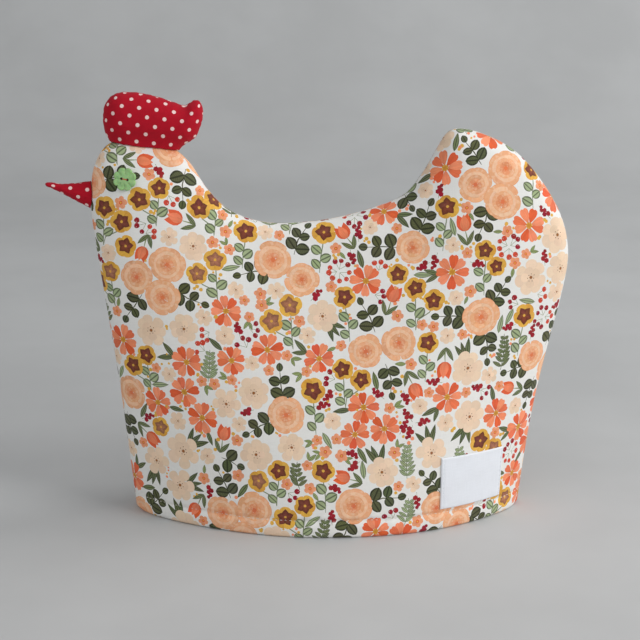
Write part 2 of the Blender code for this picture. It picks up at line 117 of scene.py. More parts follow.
def unit(rows):
    return rows / np.linalg.norm(rows, axis=1)[:, None]


def smooth_curve(rows, fine=24):
    """Centripetal Catmull-Rom curve through the rows, as many points in metres."""
    p = np.array(rows, float) * MM
    p = np.vstack([2 * p[0] - p[1], p, 2 * p[-1] - p[-2]])
    out = []
    for i in range(1, len(p) - 2):
        q = p[i - 1:i + 3]
        t = [0.0]
        for j in range(3):
            t.append(t[-1] + math.sqrt(np.linalg.norm(q[j + 1] - q[j])))
        s = np.linspace(t[1], t[2], fine, endpoint=False)[:, None]
        a1 = (t[1] - s) / (t[1] - t[0]) * q[0] + (s - t[0]) / (t[1] - t[0]) * q[1]
        a2 = (t[2] - s) / (t[2] - t[1]) * q[1] + (s - t[1]) / (t[2] - t[1]) * q[2]
        a3 = (t[3] - s) / (t[3] - t[2]) * q[2] + (s - t[2]) / (t[3] - t[2]) * q[3]
        b1 = (t[2] - s) / (t[2] - t[0]) * a1 + (s - t[0]) / (t[2] - t[0]) * a2
        b2 = (t[3] - s) / (t[3] - t[1]) * a2 + (s - t[1]) / (t[3] - t[1]) * a3
        out.append((t[2] - s) / (t[2] - t[1]) * b1 + (s - t[1]) / (t[2] - t[1]) * b2)
    return np.vstack(out + [p[-2:-1]])


def run_along(curve):
    """Length from the start of a curve to each of its points."""
    return np.concatenate([[0], np.cumsum(np.linalg.norm(np.diff(curve, axis=0), axis=1))])


def points_at(curve, lengths):
    """Points of a curve at lengths from its start."""
    run = run_along(curve)
    return np.stack([np.interp(lengths, run, column) for column in curve.T], axis=1)


def spaced(curve, step):
    """Points at equal steps of length along a curve, ends kept."""
    length = run_along(curve)[-1]
    return points_at(curve, np.linspace(0, length, max(2, round(length / step) + 1)))


def into_cloth(pts):
    """Unit normals on the right of the running direction, which is the cloth's side on the profile."""
    tangent = unit(np.gradient(pts, axis=0))
    return np.stack([tangent[:, 1], -tangent[:, 0]], axis=1)


BLOCK = 2000                    # points worked on at a time, to spare memory


def nearest_on_line(line, pts):
    """Segment of a line nearest to each point, share of the way along it, and the step from there."""
    a, b = line[:-1], line[1:]
    ab = b - a
    length2 = (ab * ab).sum(1)
    segment, share, gap = np.empty(len(pts), int), np.empty(len(pts)), np.empty((len(pts), 2))
    for k in range(0, len(pts), BLOCK):
        ap = pts[k:k + BLOCK, None, :] - a[None]
        t = np.clip((ap * ab).sum(2) / length2, 0, 1)
        away = ap - t[..., None] * ab
        nearest = (away ** 2).sum(2).argmin(1)
        row = np.arange(len(nearest))
        segment[k:k + BLOCK] = nearest
        share[k:k + BLOCK] = t[row, nearest]
        gap[k:k + BLOCK] = away[row, nearest]
    return segment, share, gap


def beside_line(line, pts):
    """Distance of points from a line, and the direction away from it."""
    gap = nearest_on_line(line, pts)[2]
    dist = np.sqrt((gap ** 2).sum(1))
    return dist, gap / np.maximum(dist, 1e-9)[:, None]


def linked(name, data):
    """New object in the scene."""
    obj = bpy.data.objects.new(name, data)
    bpy.context.scene.collection.objects.link(obj)
    return obj


def store_vectors(mesh, name, domain, rows):
    """Keeps a vector for each corner or point of a mesh, for its material to read."""
    padded = np.zeros((len(rows), 3), np.float32)
    padded[:, :rows.shape[1]] = rows
    mesh.attributes.new(name, "FLOAT_VECTOR", domain).data.foreach_set("vector", padded.ravel())


# ---- the swelling of the panels ------------------------------------------------------------------
SEAM = smooth_curve(PROFILE)
SEAM_STEP = 2.5 * MM
SEAM_SAMPLES = spaced(SEAM, SEAM_STEP)
BELOW_HEM = np.linspace(SEAM_STEP, 160 * MM, 60)[:, None]
SIDE_RAKE = 0.10                # how far the sides lean inwards for each metre below the hem
LEFT_FOOT = BELOW_HEM * np.array([[SIDE_RAKE, -1.0]]) + SEAM[0]
RIGHT_FOOT = BELOW_HEM * np.array([[-SIDE_RAKE, -1.0]]) + SEAM[-1]
SWELL_SAMPLES = np.vstack([SEAM_SAMPLES, LEFT_FOOT, RIGHT_FOOT])
RIM_BELOW = 7                   # points that the rim goes on for below each end of the hem
RIM = np.vstack([LEFT_FOOT[RIM_BELOW:0:-1], SEAM_SAMPLES, RIGHT_FOOT[1:RIM_BELOW + 1]])
RIM_INWARD = into_cloth(RIM)
SWELL_CORE = 0.8 * MM           # keeps the stand-in for the distance from vanishing on a sample
NO_GAP = 0.02 * MM              # closer to the seam than this, the direction is that of the seam's own normal


def nearest_on_rim(pts):
    """Signed distance from the seam, positive in the cloth, and the direction away from the seam."""
    segment, share, gap = nearest_on_line(RIM, pts)
    share = share[:, None]
    inward = RIM_INWARD[segment] * (1 - share) + RIM_INWARD[segment + 1] * share
    sign = np.where((gap * inward).sum(1) < 0, -1.0, 1.0)
    dist = np.sqrt((gap ** 2).sum(1))
    outright = gap / np.maximum(dist, 1e-9)[:, None] * sign[:, None]
    return dist * sign, unit(np.where(dist[:, None] > NO_GAP, outright, inward))


def swell_distance(pts):
    """Smooth stand-in for the distance from the seam, without ridges along the middle."""
    out = np.empty(len(pts))
    for k in range(0, len(pts), BLOCK):
        gap = pts[k:k + BLOCK, None, :] - SWELL_SAMPLES[None]
        r2 = (gap ** 2).sum(2) + SWELL_CORE ** 2
        out[k:k + BLOCK] = ((SEAM_STEP / 2) * (r2 ** -1.5).sum(1)) ** -0.5
    return out


SWELL_AT_HEM = swell_distance(np.array([[0.0, 0.0]]))[0]


def roll(d, radius):
    """Quarter round that climbs from the seam to full height over the radius."""
    t = 1 - np.clip(d / radius, 0, 1)
    return np.sqrt(np.clip(1 - t * t, 0, 1))


def swell(pts):
    """How far a panel stands out from the shoulder."""
    top = 1 - TOP_FLATTEN * smoothstep(pts[:, 1] / FLATTEN_HEIGHT)
    reach = BASE_HALF_DEPTH - SHOULDER - HALF_GAP
    share = np.hypot(swell_distance(pts) / SWELL_AT_HEM, SWELL_EASE) ** SWELL_POWER
    floor = SWELL_EASE ** SWELL_POWER
    full = math.hypot(1, SWELL_EASE) ** SWELL_POWER
    fuller = 1 + TAIL_FULLNESS * smoothstep(pts[:, 0] / TAIL_REACH)
    return reach * top * fuller * (share - floor) / (full - floor)


class Field:
    """Values on a square grid over the profile plane, read smoothly between its points."""

    def __init__(self, low, high, step, values_at):
        self.low, self.step = np.array(low), step
        self.nx, self.nz = (int(round((high[k] - low[k]) / step)) + 1 for k in range(2))
        x = low[0] + step * np.arange(self.nx)
        z = low[1] + step * np.arange(self.nz)
        self.x, self.z = x, z
        grid = np.stack(np.meshgrid(x, z, indexing="ij"), axis=-1).reshape(-1, 2)
        self.values = values_at(grid).reshape(self.nx, self.nz)

    @staticmethod
    def weights(f):
        value = np.stack([-f / 2 + f**2 - f**3 / 2, 1 - 2.5 * f**2 + 1.5 * f**3,
                          f / 2 + 2 * f**2 - 1.5 * f**3, -f**2 / 2 + f**3 / 2], axis=1)
        slope = np.stack([-0.5 + 2 * f - 1.5 * f**2, -5 * f + 4.5 * f**2,
                          0.5 + 4 * f - 4.5 * f**2, -f + 1.5 * f**2], axis=1)
        return value, slope

    def at(self, pts):
        """Value and slopes at each point."""
        g = (pts - self.low) / self.step
        i = np.clip(np.floor(g[:, 0]).astype(int), 1, self.nx - 3)
        j = np.clip(np.floor(g[:, 1]).astype(int), 1, self.nz - 3)
        wx, sx = self.weights(np.clip(g[:, 0] - i, 0, 1))
        wz, sz = self.weights(np.clip(g[:, 1] - j, 0, 1))
        near = np.stack([np.stack([self.values[i + a, j + b] for b in range(-1, 3)], axis=1)
                         for a in range(-1, 3)], axis=1)
        value = np.einsum("na,nab,nb->n", wx, near, wz)
        slope_x = np.einsum("na,nab,nb->n", sx, near, wz) / self.step
        slope_z = np.einsum("na,nab,nb->n", wx, near, sz) / self.step
        return value, slope_x, slope_z


FIELD_LOW, FIELD_HIGH, FIELD_STEP = (-0.186, -0.018), (0.192, 0.288), 1.5 * MM      # on the profile plane
SWELL = Field(FIELD_LOW, FIELD_HIGH, FIELD_STEP, swell)


# ---- the cloth drawn out flat --------------------------------------------------------------------
def stretch_fields():
    """How much further apart points lie along the swollen cloth than on the profile, from the middle."""
    more_x, more_z = ((np.sqrt(1 + slope**2) - 1) * SWELL.step
                      for slope in np.gradient(SWELL.values, SWELL.step))
    run_x, run_z = np.cumsum(more_x, axis=0), np.cumsum(more_z, axis=1)
    run_x -= run_x[np.argmin(abs(SWELL.x))][None, :]
    run_z -= run_z[:, np.argmin(abs(SWELL.z - HEM_RADIUS))][:, None]
    return [Field(FIELD_LOW, FIELD_HIGH, FIELD_STEP, lambda grid, run=run: run) for run in (run_x, run_z)]


STRETCH = stretch_fields()
RIM_EXTRA = (math.pi / 2 - 1) * SHOULDER        # cloth taken up by the roll beside the seam
FLAT_ROUNDS = 14                # rounds that find the place on the profile of a point of the flat cloth


def stretch(pts):
    return np.stack([field.at(pts)[0] for field in STRETCH], axis=1)


def flat_from_profile(pts):
    return pts + stretch(pts)


def profile_from_flat(flat):
    """Place on the profile, distance from the seam, direction away from it and turn under the hem."""
    turn = np.clip((HEM_RADIUS - flat[:, 1]) / HEM_RADIUS, 0, math.pi)
    target = np.stack([flat[:, 0], np.maximum(flat[:, 1], HEM_RADIUS)], axis=1)
    pts = target
    for _ in range(FLAT_ROUNDS):
        pts = target - stretch(pts)
    lay, away = nearest_on_rim(pts)
    along = np.clip(lay + RIM_EXTRA, 0, None)
    dist = np.where(along < SHOULDER * math.pi / 2, SHOULDER * (1 - np.cos(along / SHOULDER)), lay)
    return pts + away * (dist - lay)[:, None], dist, away, turn


# soft hollows (minus) and ridges, listed one by one: middle x and z, half length, half width, tilt, height
SOFT_FOLDS = [
    (-52, 176, 34, 13, 62, -0.9), (-78, 168, 40, 12, 74, 0.6), (44, 186, 30, 13, -58, -0.8),
    (72, 190, 34, 14, -70, 0.5), (-112, 188, 26, 10, 20, -0.5), (-96, 96, 46, 17, 84, -0.6),
    (-52, 70, 40, 20, 100, 0.5), (8, 120, 44, 20, 86, -0.5), (52, 92, 40, 18, 78, 0.5),
    (96, 118, 42, 15, 98, -0.7), (118, 176, 30, 12, 60, 0.5), (-8, 40, 50, 11, 4, -0.4),
    (78, 52, 34, 10, -6, -0.4), (-84, 30, 30, 9, 8, -0.5), (96, 214, 22, 11, -40, -0.4),
    (28, 152, 30, 12, 20, 0.35),
]


def soft_folds(pts):
    """Broad unevenness of the padding, the same table on both panels."""
    height = np.zeros(len(pts))
    for x, z, half_length, half_width, tilt, rise in SOFT_FOLDS:
        along, across = turned(pts - np.array([x, z]) * MM, -math.radians(tilt)).T
        height += rise * MM * np.exp(-(along / (half_length * MM)) ** 2 - (across / (half_width * MM)) ** 2)
    return height


PUCKER_REACH, HEM_PUCKER_REACH = 8 * MM, 4.5 * MM       # how far the gathers reach from seam and stitches
SWELL_IN, FOLDS_IN, PUCKERS_IN = 1.5 * MM, 9 * MM, 3 * MM      # distances from the seam where these are full


def uneven_wave(at, pace, sway, slow):
    """Sine whose waves come closer together and farther apart."""
    return np.sin(at * pace + sway * np.sin(slow))


def puckers(pts, d):
    """Small gathers beside the seam and along the topstitching."""
    x, z = pts[:, 0] / MM, pts[:, 1] / MM
    crossing = (uneven_wave(0.9 * x + 0.35 * z, 0.56, 1.4, x * 0.09)
                + uneven_wave(0.4 * x - 0.9 * z, 0.43, 1.1, z * 0.08))
    beside_seam = SEAM_PUCKER * crossing / 2 * np.exp(-d / PUCKER_REACH)
    beside_hem = np.exp(-((pts[:, 1] - HEM_STITCH_Z) / HEM_PUCKER_REACH) ** 2)
    return beside_seam + HEM_PUCKER * uneven_wave(x, 0.74, 1.6, x * 0.11) * beside_hem


def relief(pts, d):
    """Drawn-in topstitching, the puffed band below it, the puckers and the soft folds."""
    x, z = pts[:, 0], pts[:, 1]
    uneven = 1 + 0.25 * np.sin(x / (9 * MM)) * np.sin(x / (31 * MM))
    groove = uneven * np.exp(-((z - HEM_STITCH_Z) / HEM_GROOVE_WIDTH) ** 2)
    band = np.clip(np.sin(np.clip(z / HEM_STITCH_Z, 0, 1) * math.pi), 0, 1)
    broad = HEM_PUFF * band - HEM_GROOVE * groove + soft_folds(pts)
    return broad * smoothstep(d / FOLDS_IN) + puckers(pts, d) * smoothstep(d / PUCKERS_IN)


def outer_depth(pts, d, stand_out):
    return HALF_GAP + SHOULDER * roll(d, SHOULDER) + stand_out + relief(pts, d)


SLOPE_STEP = 0.02 * MM          # between the two depths that a slope is read from
AT_SEAM = 0.03 * MM             # closer to the seam than this, the cloth is nearly upright
SEAM_STEEPNESS = 60.0           # and this is its slope
ON_SEAM = 1e-7                  # metres, points this close lie on the seam itself


def outer_surface(pts, d, away, turn, side):
    """Points and normals of the outer face, which turns under along the hem."""
    value, *value_slopes = SWELL.at(pts)
    value = value * smoothstep(d / SWELL_IN)
    depth = outer_depth(pts, d, value)
    slopes = []
    for toward, slope, step in zip(away.T, value_slopes, SLOPE_STEP * np.eye(2)):
        beyond = outer_depth(pts + step, d + SLOPE_STEP * toward, value + SLOPE_STEP * slope)
        slopes.append(np.where(d < AT_SEAM, SEAM_STEEPNESS * toward, (beyond - depth) / SLOPE_STEP))
    depth = np.where(d < ON_SEAM, HALF_GAP, depth)
    facing = np.full(len(pts), float(side))
    normal = unit(np.stack([-slopes[0], facing, -slopes[1]], axis=1))
    place = np.stack([pts[:, 0], side * depth, pts[:, 1]], axis=1)
    turn_under(place, normal, unit(np.stack([-slopes[0], facing], axis=1)), turn)
    return place, normal


def turn_under(place, normal, level, turn):
    """Bends the lowest cloth round under the hem to the inside; level is the way out seen from above."""
    under = turn > 0
    level, turn = level[under], turn[under][:, None]
    out, drop = np.cos(turn), np.clip(np.sin(turn), 0, 1) ** HEM_FULLNESS
    bend = np.sign(out) * np.abs(out) ** HEM_FULLNESS
    place[under, :2] -= level * HEM_RADIUS * (1 - bend)
    place[under, 2:] = HEM_RADIUS * (1 - drop)
    normal[under] = np.hstack([level * out, -np.sin(turn)])


# ---- colours -------------------------------------------------------------------------------------
def linear(*rgb):
    """Linear colour from eight-bit values as they look on a screen."""
    c = np.array(rgb) / 255
    return np.where(c <= 0.04045, c / 12.92, ((c + 0.055) / 1.055) ** 2.4)


def blend(a, b, share):
    return a * (1 - share) + b * share


IVORY = linear(236, 235, 231)
PEACH, PEACH_DEEP, PEACH_PALE = linear(240, 178, 134), linear(229, 138, 92), linear(250, 214, 182)
BLUSH = linear(240, 212, 184)
CORAL, CORAL_PALE = linear(226, 98, 58), linear(246, 152, 112)
OCHRE, OCHRE_DEEP = linear(226, 174, 74), linear(204, 140, 52)
BROWN, CRIMSON, TOMATO = linear(126, 66, 49), linear(152, 30, 42), linear(212, 76, 54)
DARK_LEAF, MID_LEAF, PALE_LEAF = linear(92, 96, 64), linear(118, 128, 88), linear(160, 174, 132)
OLIVE, CHALK = linear(150, 163, 106), linear(255, 250, 240)
RED, DOT_WHITE = linear(179, 12, 36), linear(243, 212, 208)
BUTTON_GREEN, THREAD_RED = linear(150, 193, 126), linear(206, 96, 66)
LABEL_WHITE, THREAD_IVORY = linear(234, 237, 243), linear(234, 230, 221)
STAGE_GREY = linear(194, 195, 195)


# ---- drawings of the print -----------------------------------------------------------------------
PLAIN, PETAL, LEAF, BLOOM, DISC, WASH = range(6)  # ways of painting, one material each

# forms of petals: share of the length, share of the half width
NOTCHED_PETAL = [(0, 0), (0.16, 0.3), (0.36, 0.66), (0.58, 0.92), (0.78, 1.0), (0.92, 0.82), (1.0, 0.42),
                 (0.94, 0)]
ROUND_PETAL = [(0, 0), (0.14, 0.36), (0.34, 0.76), (0.56, 1.0), (0.76, 0.97), (0.91, 0.68), (0.985, 0.32),
               (1.0, 0)]
POINTED_PETAL = [(0, 0), (0.08, 0.5), (0.26, 0.92), (0.46, 1.0), (0.68, 0.74), (0.86, 0.34), (1.0, 0)]

FLOWER_TURN = 6.0               # radians, flowers and their rings are turned by up to this
LEAF_TURN = 6.28                # radians, leaves under a flower head anywhere

# an outline in mm with its colour; axes turn a step from its origin into shares of a petal or leaf
Shape = namedtuple("Shape", "paint tint outline origin axes seed")


def mirrored(side):
    """Closed outline of a shape along x from its left side, which starts and ends on the axis."""
    side = np.array(side)
    return np.vstack([side, side[-2:0:-1] * [1, -1]])


def brush_axes(angle, length, width):
    """Shares of the length and of the half width for a step from a petal's foot."""
    c, s = way(angle)
    return np.array([[c / length, -2 * s / width], [s / length, 2 * c / width]])


def moved(shapes, place, angle=0.0):
    """Shapes turned about the origin and then moved."""
    spin = turned(np.eye(2), angle).T
    return [shape._replace(outline=turned(shape.outline, angle) + place,
                           origin=turned(shape.origin, angle) + place, axes=spin @ shape.axes)
            for shape in shapes]


class Drawing:
    """One motif: painted outlines in millimetres, listed from the back to the front."""

    def __init__(self, rng):
        self.rng = rng
        self.shapes = []

    def add(self, paint, tint, outline, origin=(0, 0), axes=np.eye(2)):
        tint = np.clip(tint * self.rng.normal(1, 0.035) + self.rng.normal(0, 0.004, 3), 0.002, 1)
        self.shapes.append(Shape(paint, tint, outline, np.array(origin, float), axes, self.rng.random()))

    def include(self, other, place=(0, 0), angle=0.0):
        """Adds another drawing's shapes, turned and moved."""
        self.shapes += moved(other.shapes, place, angle)

    def petal(self, paint, tint, angle, length, width, form, foot=(0, 0)):
        """Petal from its foot outwards in one of the forms above, a little uneven."""
        outline = mirrored([(along * length, across * width / 2) for along, across in form])
        outline[:, 1] += self.rng.normal(0, 0.03) * outline[:, 0]
        self.add(paint, tint, turned(outline, angle) + foot, foot, brush_axes(angle, length, width))

    def blade(self, tint, length, width, fullness, belly, points):
        """Leaf along x; belly under 1 sets its widest place towards the foot."""
        t = np.linspace(0, 1, points + 1)
        half = np.sin(math.pi * t ** belly) ** fullness * width / 2
        outline = mirrored(np.stack([t * length, half], axis=1))
        self.add(LEAF, tint, outline, axes=brush_axes(0.0, length, width))

    def dot(self, tint, centre, radius, points=7, paint=PLAIN):
        angles = around(points) + self.rng.random()
        outline = circle(angles, radius * self.rng.uniform(0.9, 1.08, points)) + centre
        self.add(paint, tint, outline, centre, np.eye(2) / radius)

    def stroke(self, tint, path, width):
        """Narrow line along a few points, thinner at its ends."""
        path = np.array(path, float)
        share = np.linspace(0, 1, len(path))
        half = into_cloth(path) * (width / 2 * (0.45 + 0.55 * np.sin(math.pi * share) ** 0.5))[:, None]
        self.add(PLAIN, tint, np.vstack([path + half, (path - half)[::-1]]), path[0])

    def ring(self, paint, tints, form, count, foot, reach, width, start):
        """Petals all round the middle, from one distance to another, their tints in turn."""
        for k in range(count):
            angle = start + 2 * math.pi * k / count + self.rng.normal(0, 0.07)
            size = self.rng.uniform(0.94, 1.06)
            self.petal(paint, tints[k % len(tints)], angle, reach * size - foot, width * size, form,
                       foot * way(angle))

    def stamens(self, tint, count, reach, radius):
        """Small dots round the middle."""
        for angle in around(count) + self.rng.uniform(0, 1):
            self.dot(tint, reach * self.rng.uniform(0.85, 1.15) * way(angle), radius, 5)

    def leaves(self, foot, heading, count, tint, length, width, fan):
        """Leaves that spread from one place."""
        for k in range(count):
            angle = heading + (k - (count - 1) / 2) * fan + self.rng.normal(0, 0.08)
            size = self.rng.uniform(0.85, 1.12)
            self.include(leaf(self.rng, tint, length * size, width * size), foot, angle)


def peony(rng, radius):
    """Full bloom of four rings of round petals, deeper towards its heart."""
    d = Drawing(rng)
    start = rng.uniform(0, FLOWER_TURN)
    rings = ((7, 0.4, 1.0, 0.84, PEACH), (6, 0.28, 0.78, 0.76, blend(PEACH, PEACH_PALE, 0.5)),
             (5, 0.16, 0.56, 0.62, PEACH), (4, 0.04, 0.36, 0.42, blend(PEACH, PEACH_DEEP, 0.6)))
    for n, (count, foot, reach, width, tint) in enumerate(rings):
        d.ring(BLOOM, (tint,), ROUND_PETAL, count, radius * foot, radius * reach, radius * width,
               start + 0.7 * n)
    d.dot(blend(CORAL, PEACH_DEEP, 0.6), (0, 0), radius * 0.13, 6)
    return d


def anemone(rng, radius):
    """Pale open flower with a ring of stamens."""
    d = Drawing(rng)
    count = int(rng.integers(6, 8))
    start = rng.uniform(0, FLOWER_TURN)
    d.ring(WASH, (BLUSH,), ROUND_PETAL, count, 0.2 * radius, radius, radius * 0.7, start)
    inner = blend(BLUSH, PEACH, 0.07)
    d.ring(WASH, (inner,), ROUND_PETAL, 5, 0.0, radius * 0.6, radius * 0.52, start + 0.5)
    d.dot(blend(BROWN, OCHRE_DEEP, 0.3), (0, 0), 0.1 * radius, 6)
    d.stamens(BROWN, 7, radius * 0.22, radius * 0.03)
    return d


def cosmos(rng, radius):
    """Eight broad petals with notched tips, in two corals."""
    d = Drawing(rng)
    tints = [blend(CORAL, CORAL_PALE, share) for share in (0.0, 0.75, 0.3, 0.9)]
    d.ring(PETAL, tints, NOTCHED_PETAL, 8, 0.1 * radius, radius, radius * 0.54, rng.uniform(0, FLOWER_TURN))
    d.dot(OCHRE_DEEP, (0, 0), radius * 0.2, 8)
    d.stamens(OCHRE, 6, radius * 0.15, radius * 0.05)
    return d


def tulip(rng, height):
    """Bud of three pointed petals on a short stem with two leaves."""
    d = Drawing(rng)
    stem = 0.75 * height
    d.stroke(OLIVE * 0.7, [(0, -stem), (0.5, -stem / 2), (0, 0)], 0.8)
    for side in (-1, 1):
        d.include(leaf(rng, MID_LEAF, height * 0.85, 2.9), (0, -stem), math.pi / 2 - side * 0.55)
    for lean in (-0.3, 0.3):
        d.petal(PETAL, CORAL, math.pi / 2 + lean, height * 0.95, height * 0.55, POINTED_PETAL)
    front = blend(CORAL, CORAL_PALE, 0.6)
    d.petal(PETAL, front, math.pi / 2 + rng.normal(0, 0.05), height * 0.88, height * 0.5, POINTED_PETAL)
    return d


def pansy(rng, radius):
    """Yellow flower of five round petals with a brown star in the middle."""
    d = Drawing(rng)
    start = rng.uniform(0, FLOWER_TURN)
    star = BROWN if rng.random() < 0.75 else blend(BROWN, PEACH, 0.28)
    tints = (OCHRE, blend(OCHRE, OCHRE_DEEP, 0.45))
    d.ring(PETAL, tints, ROUND_PETAL, 5, 0.06 * radius, radius, radius * 1.02, start)
    d.ring(DISC, (star,), POINTED_PETAL, 5, 0.0, radius * 0.78, radius * 0.66, start)
    d.dot(OCHRE, (0, 0), radius * 0.13, 6)
    return d


def leaf(rng, tint, length, width, fullness=0.85):
    d = Drawing(rng)
    d.blade(tint, length, width, fullness, 0.85, 8)
    return d


def round_leaf(rng, tint, length):
    d = Drawing(rng)
    d.blade(tint, length, length * rng.uniform(0.74, 0.88), 0.6, 0.95, 9)
    return d


def forget_me_not(rng, radius):
    """Small flower of five round petals."""
    d = Drawing(rng)
    start = rng.uniform(0, FLOWER_TURN)
    pale = blend(PEACH, CORAL_PALE, 0.6)
    for k in range(5):
        d.dot(pale, radius * 0.56 * way(start + 2 * math.pi * k / 5), radius * 0.44, 8, WASH)
    d.dot(CORAL, (0, 0), radius * 0.3, 6)
    d.dot(OCHRE, (0, 0), radius * 0.15, 5)
    return d


def berries(rng):
    """Three round berries on short stalks."""
    d = Drawing(rng)
    radius = 1.75
    tint = TOMATO if rng.random() < 0.5 else CRIMSON * 1.1
    for heading in (-0.75, 0.0, 0.75):
        angle = math.pi / 2 + heading + rng.normal(0, 0.08)
        place = rng.uniform(4.6, 6.2) * way(angle)
        d.stroke(OLIVE * 0.7, [(0, 0), place], 0.5)
        d.dot(tint, place, radius * rng.uniform(0.85, 1.1), 8, WASH)
        d.dot(blend(tint, CHALK, 0.4), place + radius * np.array([-0.3, 0.35]), radius * 0.2, 4)
    return d


def heather(rng, length):
    """Short spike of crimson buds."""
    d = Drawing(rng)
    d.stroke(OLIVE * 0.65, [(0, 0), (0, length)], 0.5)
    for k in range(5):
        share = 0.3 + 0.14 * k
        side = (-1) ** k * (1.3 - share)
        d.dot(CRIMSON * rng.uniform(0.9, 1.25), (1.2 * side, length * share), 2.1 - 0.95 * share, 6)
    return d


def round_branch(rng, tint, pairs, size):
    """Stem with round leaves in pairs that grow smaller towards its tip."""
    d = Drawing(rng)
    step = 0.88 * size
    height = step * (pairs + 0.4)
    bend = rng.uniform(-0.1, 0.1) * height
    d.stroke(tint * 0.7, [(0, 0), (bend, height * 0.5), (0, height)], 0.7)
    for k in range(pairs):
        at = step * (k + 0.45)
        foot = (bend * math.sin(math.pi * at / height), at)
        for side in (-1, 1):
            length = size * (1 - 0.35 * k / pairs) * rng.uniform(0.9, 1.06)
            d.include(round_leaf(rng, tint, length), foot, math.pi / 2 - side * rng.uniform(0.95, 1.2))
    d.include(round_leaf(rng, tint, size * 0.62), (0, height * 0.97), math.pi / 2 + rng.normal(0, 0.1))
    return d


def fern(rng, tint, pairs, length):
    """Bent stem with narrow leaflets that grow shorter towards its tip."""
    d = Drawing(rng)
    step = 2.9
    height = step * (pairs + 1)
    bend = rng.uniform(-0.22, 0.22) * height
    stem = [(0, 0), (bend * 0.7, height * 0.35), (bend, height * 0.7), (bend * 0.8, height)]
    d.stroke(tint * 0.65, stem, 0.7)
    for k in range(pairs):
        at = (k + 0.8) * step
        foot = (bend * math.sin(math.pi / 2 * min(1.0, at / height * 1.3)), at)
        for side in (-1, 1):
            reach = length * (1 - 0.62 * k / pairs) * rng.uniform(0.9, 1.08)
            d.include(leaf(rng, tint, reach, 2.5, 0.7), foot, math.pi / 2 - side * rng.uniform(0.85, 1.0))
    return d


# number of peonies, their places, and where round-leaved twigs may head from and how far out they start
PEONY_GROUPS = {
    1: ([(0, 0)], (-0.5, 1.6, 3.6), 8.5),
    2: ([(-10.4, 1.5), (10.6, -1.5)], (-1.7, 1.5, 3.9), 10.5),
    3: ([(-10.6, 5), (10.8, 4), (-1.2, -13)], (-0.75, 1.7, 3.75), 14.0),
}


def peony_spray(rng, count):
    """Peonies close together with dark round-leaved twigs behind them."""
    d = Drawing(rng)
    places, headings, start = PEONY_GROUPS[count]
    for heading in rng.permutation(headings)[:int(rng.integers(2, 4))]:
        angle = heading + rng.uniform(-0.25, 0.25)
        twig = round_branch(rng, DARK_LEAF, 2, rng.uniform(8.2, 9.6))
        d.include(twig, way(angle) * start, angle - math.pi / 2)
    for place in places:
        d.include(peony(rng, rng.uniform(10.4, 12.2)), place, rng.uniform(-0.6, 0.6))
    return d


def pansy_sprig(rng):
    """Forked stem with one or two pansies above round pale leaves."""
    d = Drawing(rng)
    height = rng.uniform(19, 25)
    tops = [np.array([rng.uniform(-2, 2), height])]
    if rng.random() < 0.45:
        tops.append(np.array([(-1) ** int(rng.integers(2)) * 11.5, height * 0.62]))
    for top in tops:
        d.stroke(PALE_LEAF * 0.6, [(0, 0), (top[0] * 0.12, top[1] * 0.45), top * 0.75, top], 0.7)
    for side, share in ((-1, 0.12), (1, 0.34), (-1, 0.54)):
        d.include(round_leaf(rng, PALE_LEAF, rng.uniform(6.4, 8.2)), (0, height * share),
                  math.pi / 2 - side * rng.uniform(0.75, 1.05))
    for top in tops:
        d.include(pansy(rng, rng.uniform(6.6, 7.8)), top + [0, 3.5], rng.uniform(-0.3, 0.3))
    return d


def leafy_sprig(rng):
    tint = (PALE_LEAF, PALE_LEAF * 0.85, MID_LEAF)[int(rng.integers(3))]
    if rng.random() < 0.3:
        return round_branch(rng, tint, 3, rng.uniform(6.4, 7.4))
    return fern(rng, tint, int(rng.integers(5, 8)), rng.uniform(7.0, 8.6))


def anemone_spray(rng):
    """Pale anemone, now and then with a second, smaller one or with narrow dark leaves."""
    d = Drawing(rng)
    radius = rng.uniform(9.0, 11.8)
    if rng.random() < 0.4:
        heading = rng.uniform(-2.4, -0.7)
        d.leaves(0.45 * radius * way(heading), heading, 3, MID_LEAF * 0.75, 14, 3.6, 0.45)
    elif rng.random() < 0.4:
        angle = rng.uniform(0, 2 * math.pi)
        d.include(anemone(rng, radius * 0.66), 1.45 * radius * way(angle))
    d.include(anemone(rng, radius), angle=rng.uniform(0, FLOWER_TURN))
    return d


def cosmos_spray(rng):
    """Coral flower, often on one or two leaves, or a tulip."""
    if rng.random() < 0.3:
        return tulip(rng, rng.uniform(10.5, 12.5))
    d = Drawing(rng)
    if rng.random() < 0.55:
        heading = rng.uniform(0, LEAF_TURN)
        d.leaves(8.2 * way(heading), heading, int(rng.integers(1, 3)), MID_LEAF * 0.85, 11.0, 3.4, 0.9)
    d.include(cosmos(rng, rng.uniform(9.0, 11.4)), angle=rng.uniform(0, FLOWER_TURN))
    return d


SMALL_KINDS = ["round", "round", "berries", "heather"]      # as often as they are drawn


def small_flower(rng, kind):
    if kind == "round":
        return forget_me_not(rng, rng.uniform(3.5, 4.3))
    return berries(rng) if kind == "berries" else heather(rng, rng.uniform(9.4, 11.6))


def cluster(rng):
    """A few small flowers of one kind close together, with short leaves between them."""
    d = Drawing(rng)
    kind = rng.choice(SMALL_KINDS)
    round_ones = kind == "round"
    count = int(rng.integers(3, 6)) if round_ones else 3
    start = rng.uniform(0, FLOWER_TURN)
    reach = 2.9 + 1.05 * count if round_ones else 1.2
    for k in range(count):
        angle = start + 2 * math.pi * k / count
        if round_ones and k % 2 == 0:
            d.leaves(way(angle) * (reach + 2.6), angle + rng.normal(0, 0.5), 2, OLIVE, 6.2, 2.3, 0.95)
        turn = rng.uniform(0, FLOWER_TURN) if round_ones else angle - math.pi / 2
        d.include(small_flower(rng, kind), way(angle) * reach * rng.uniform(0.92, 1.1), turn)
    return d


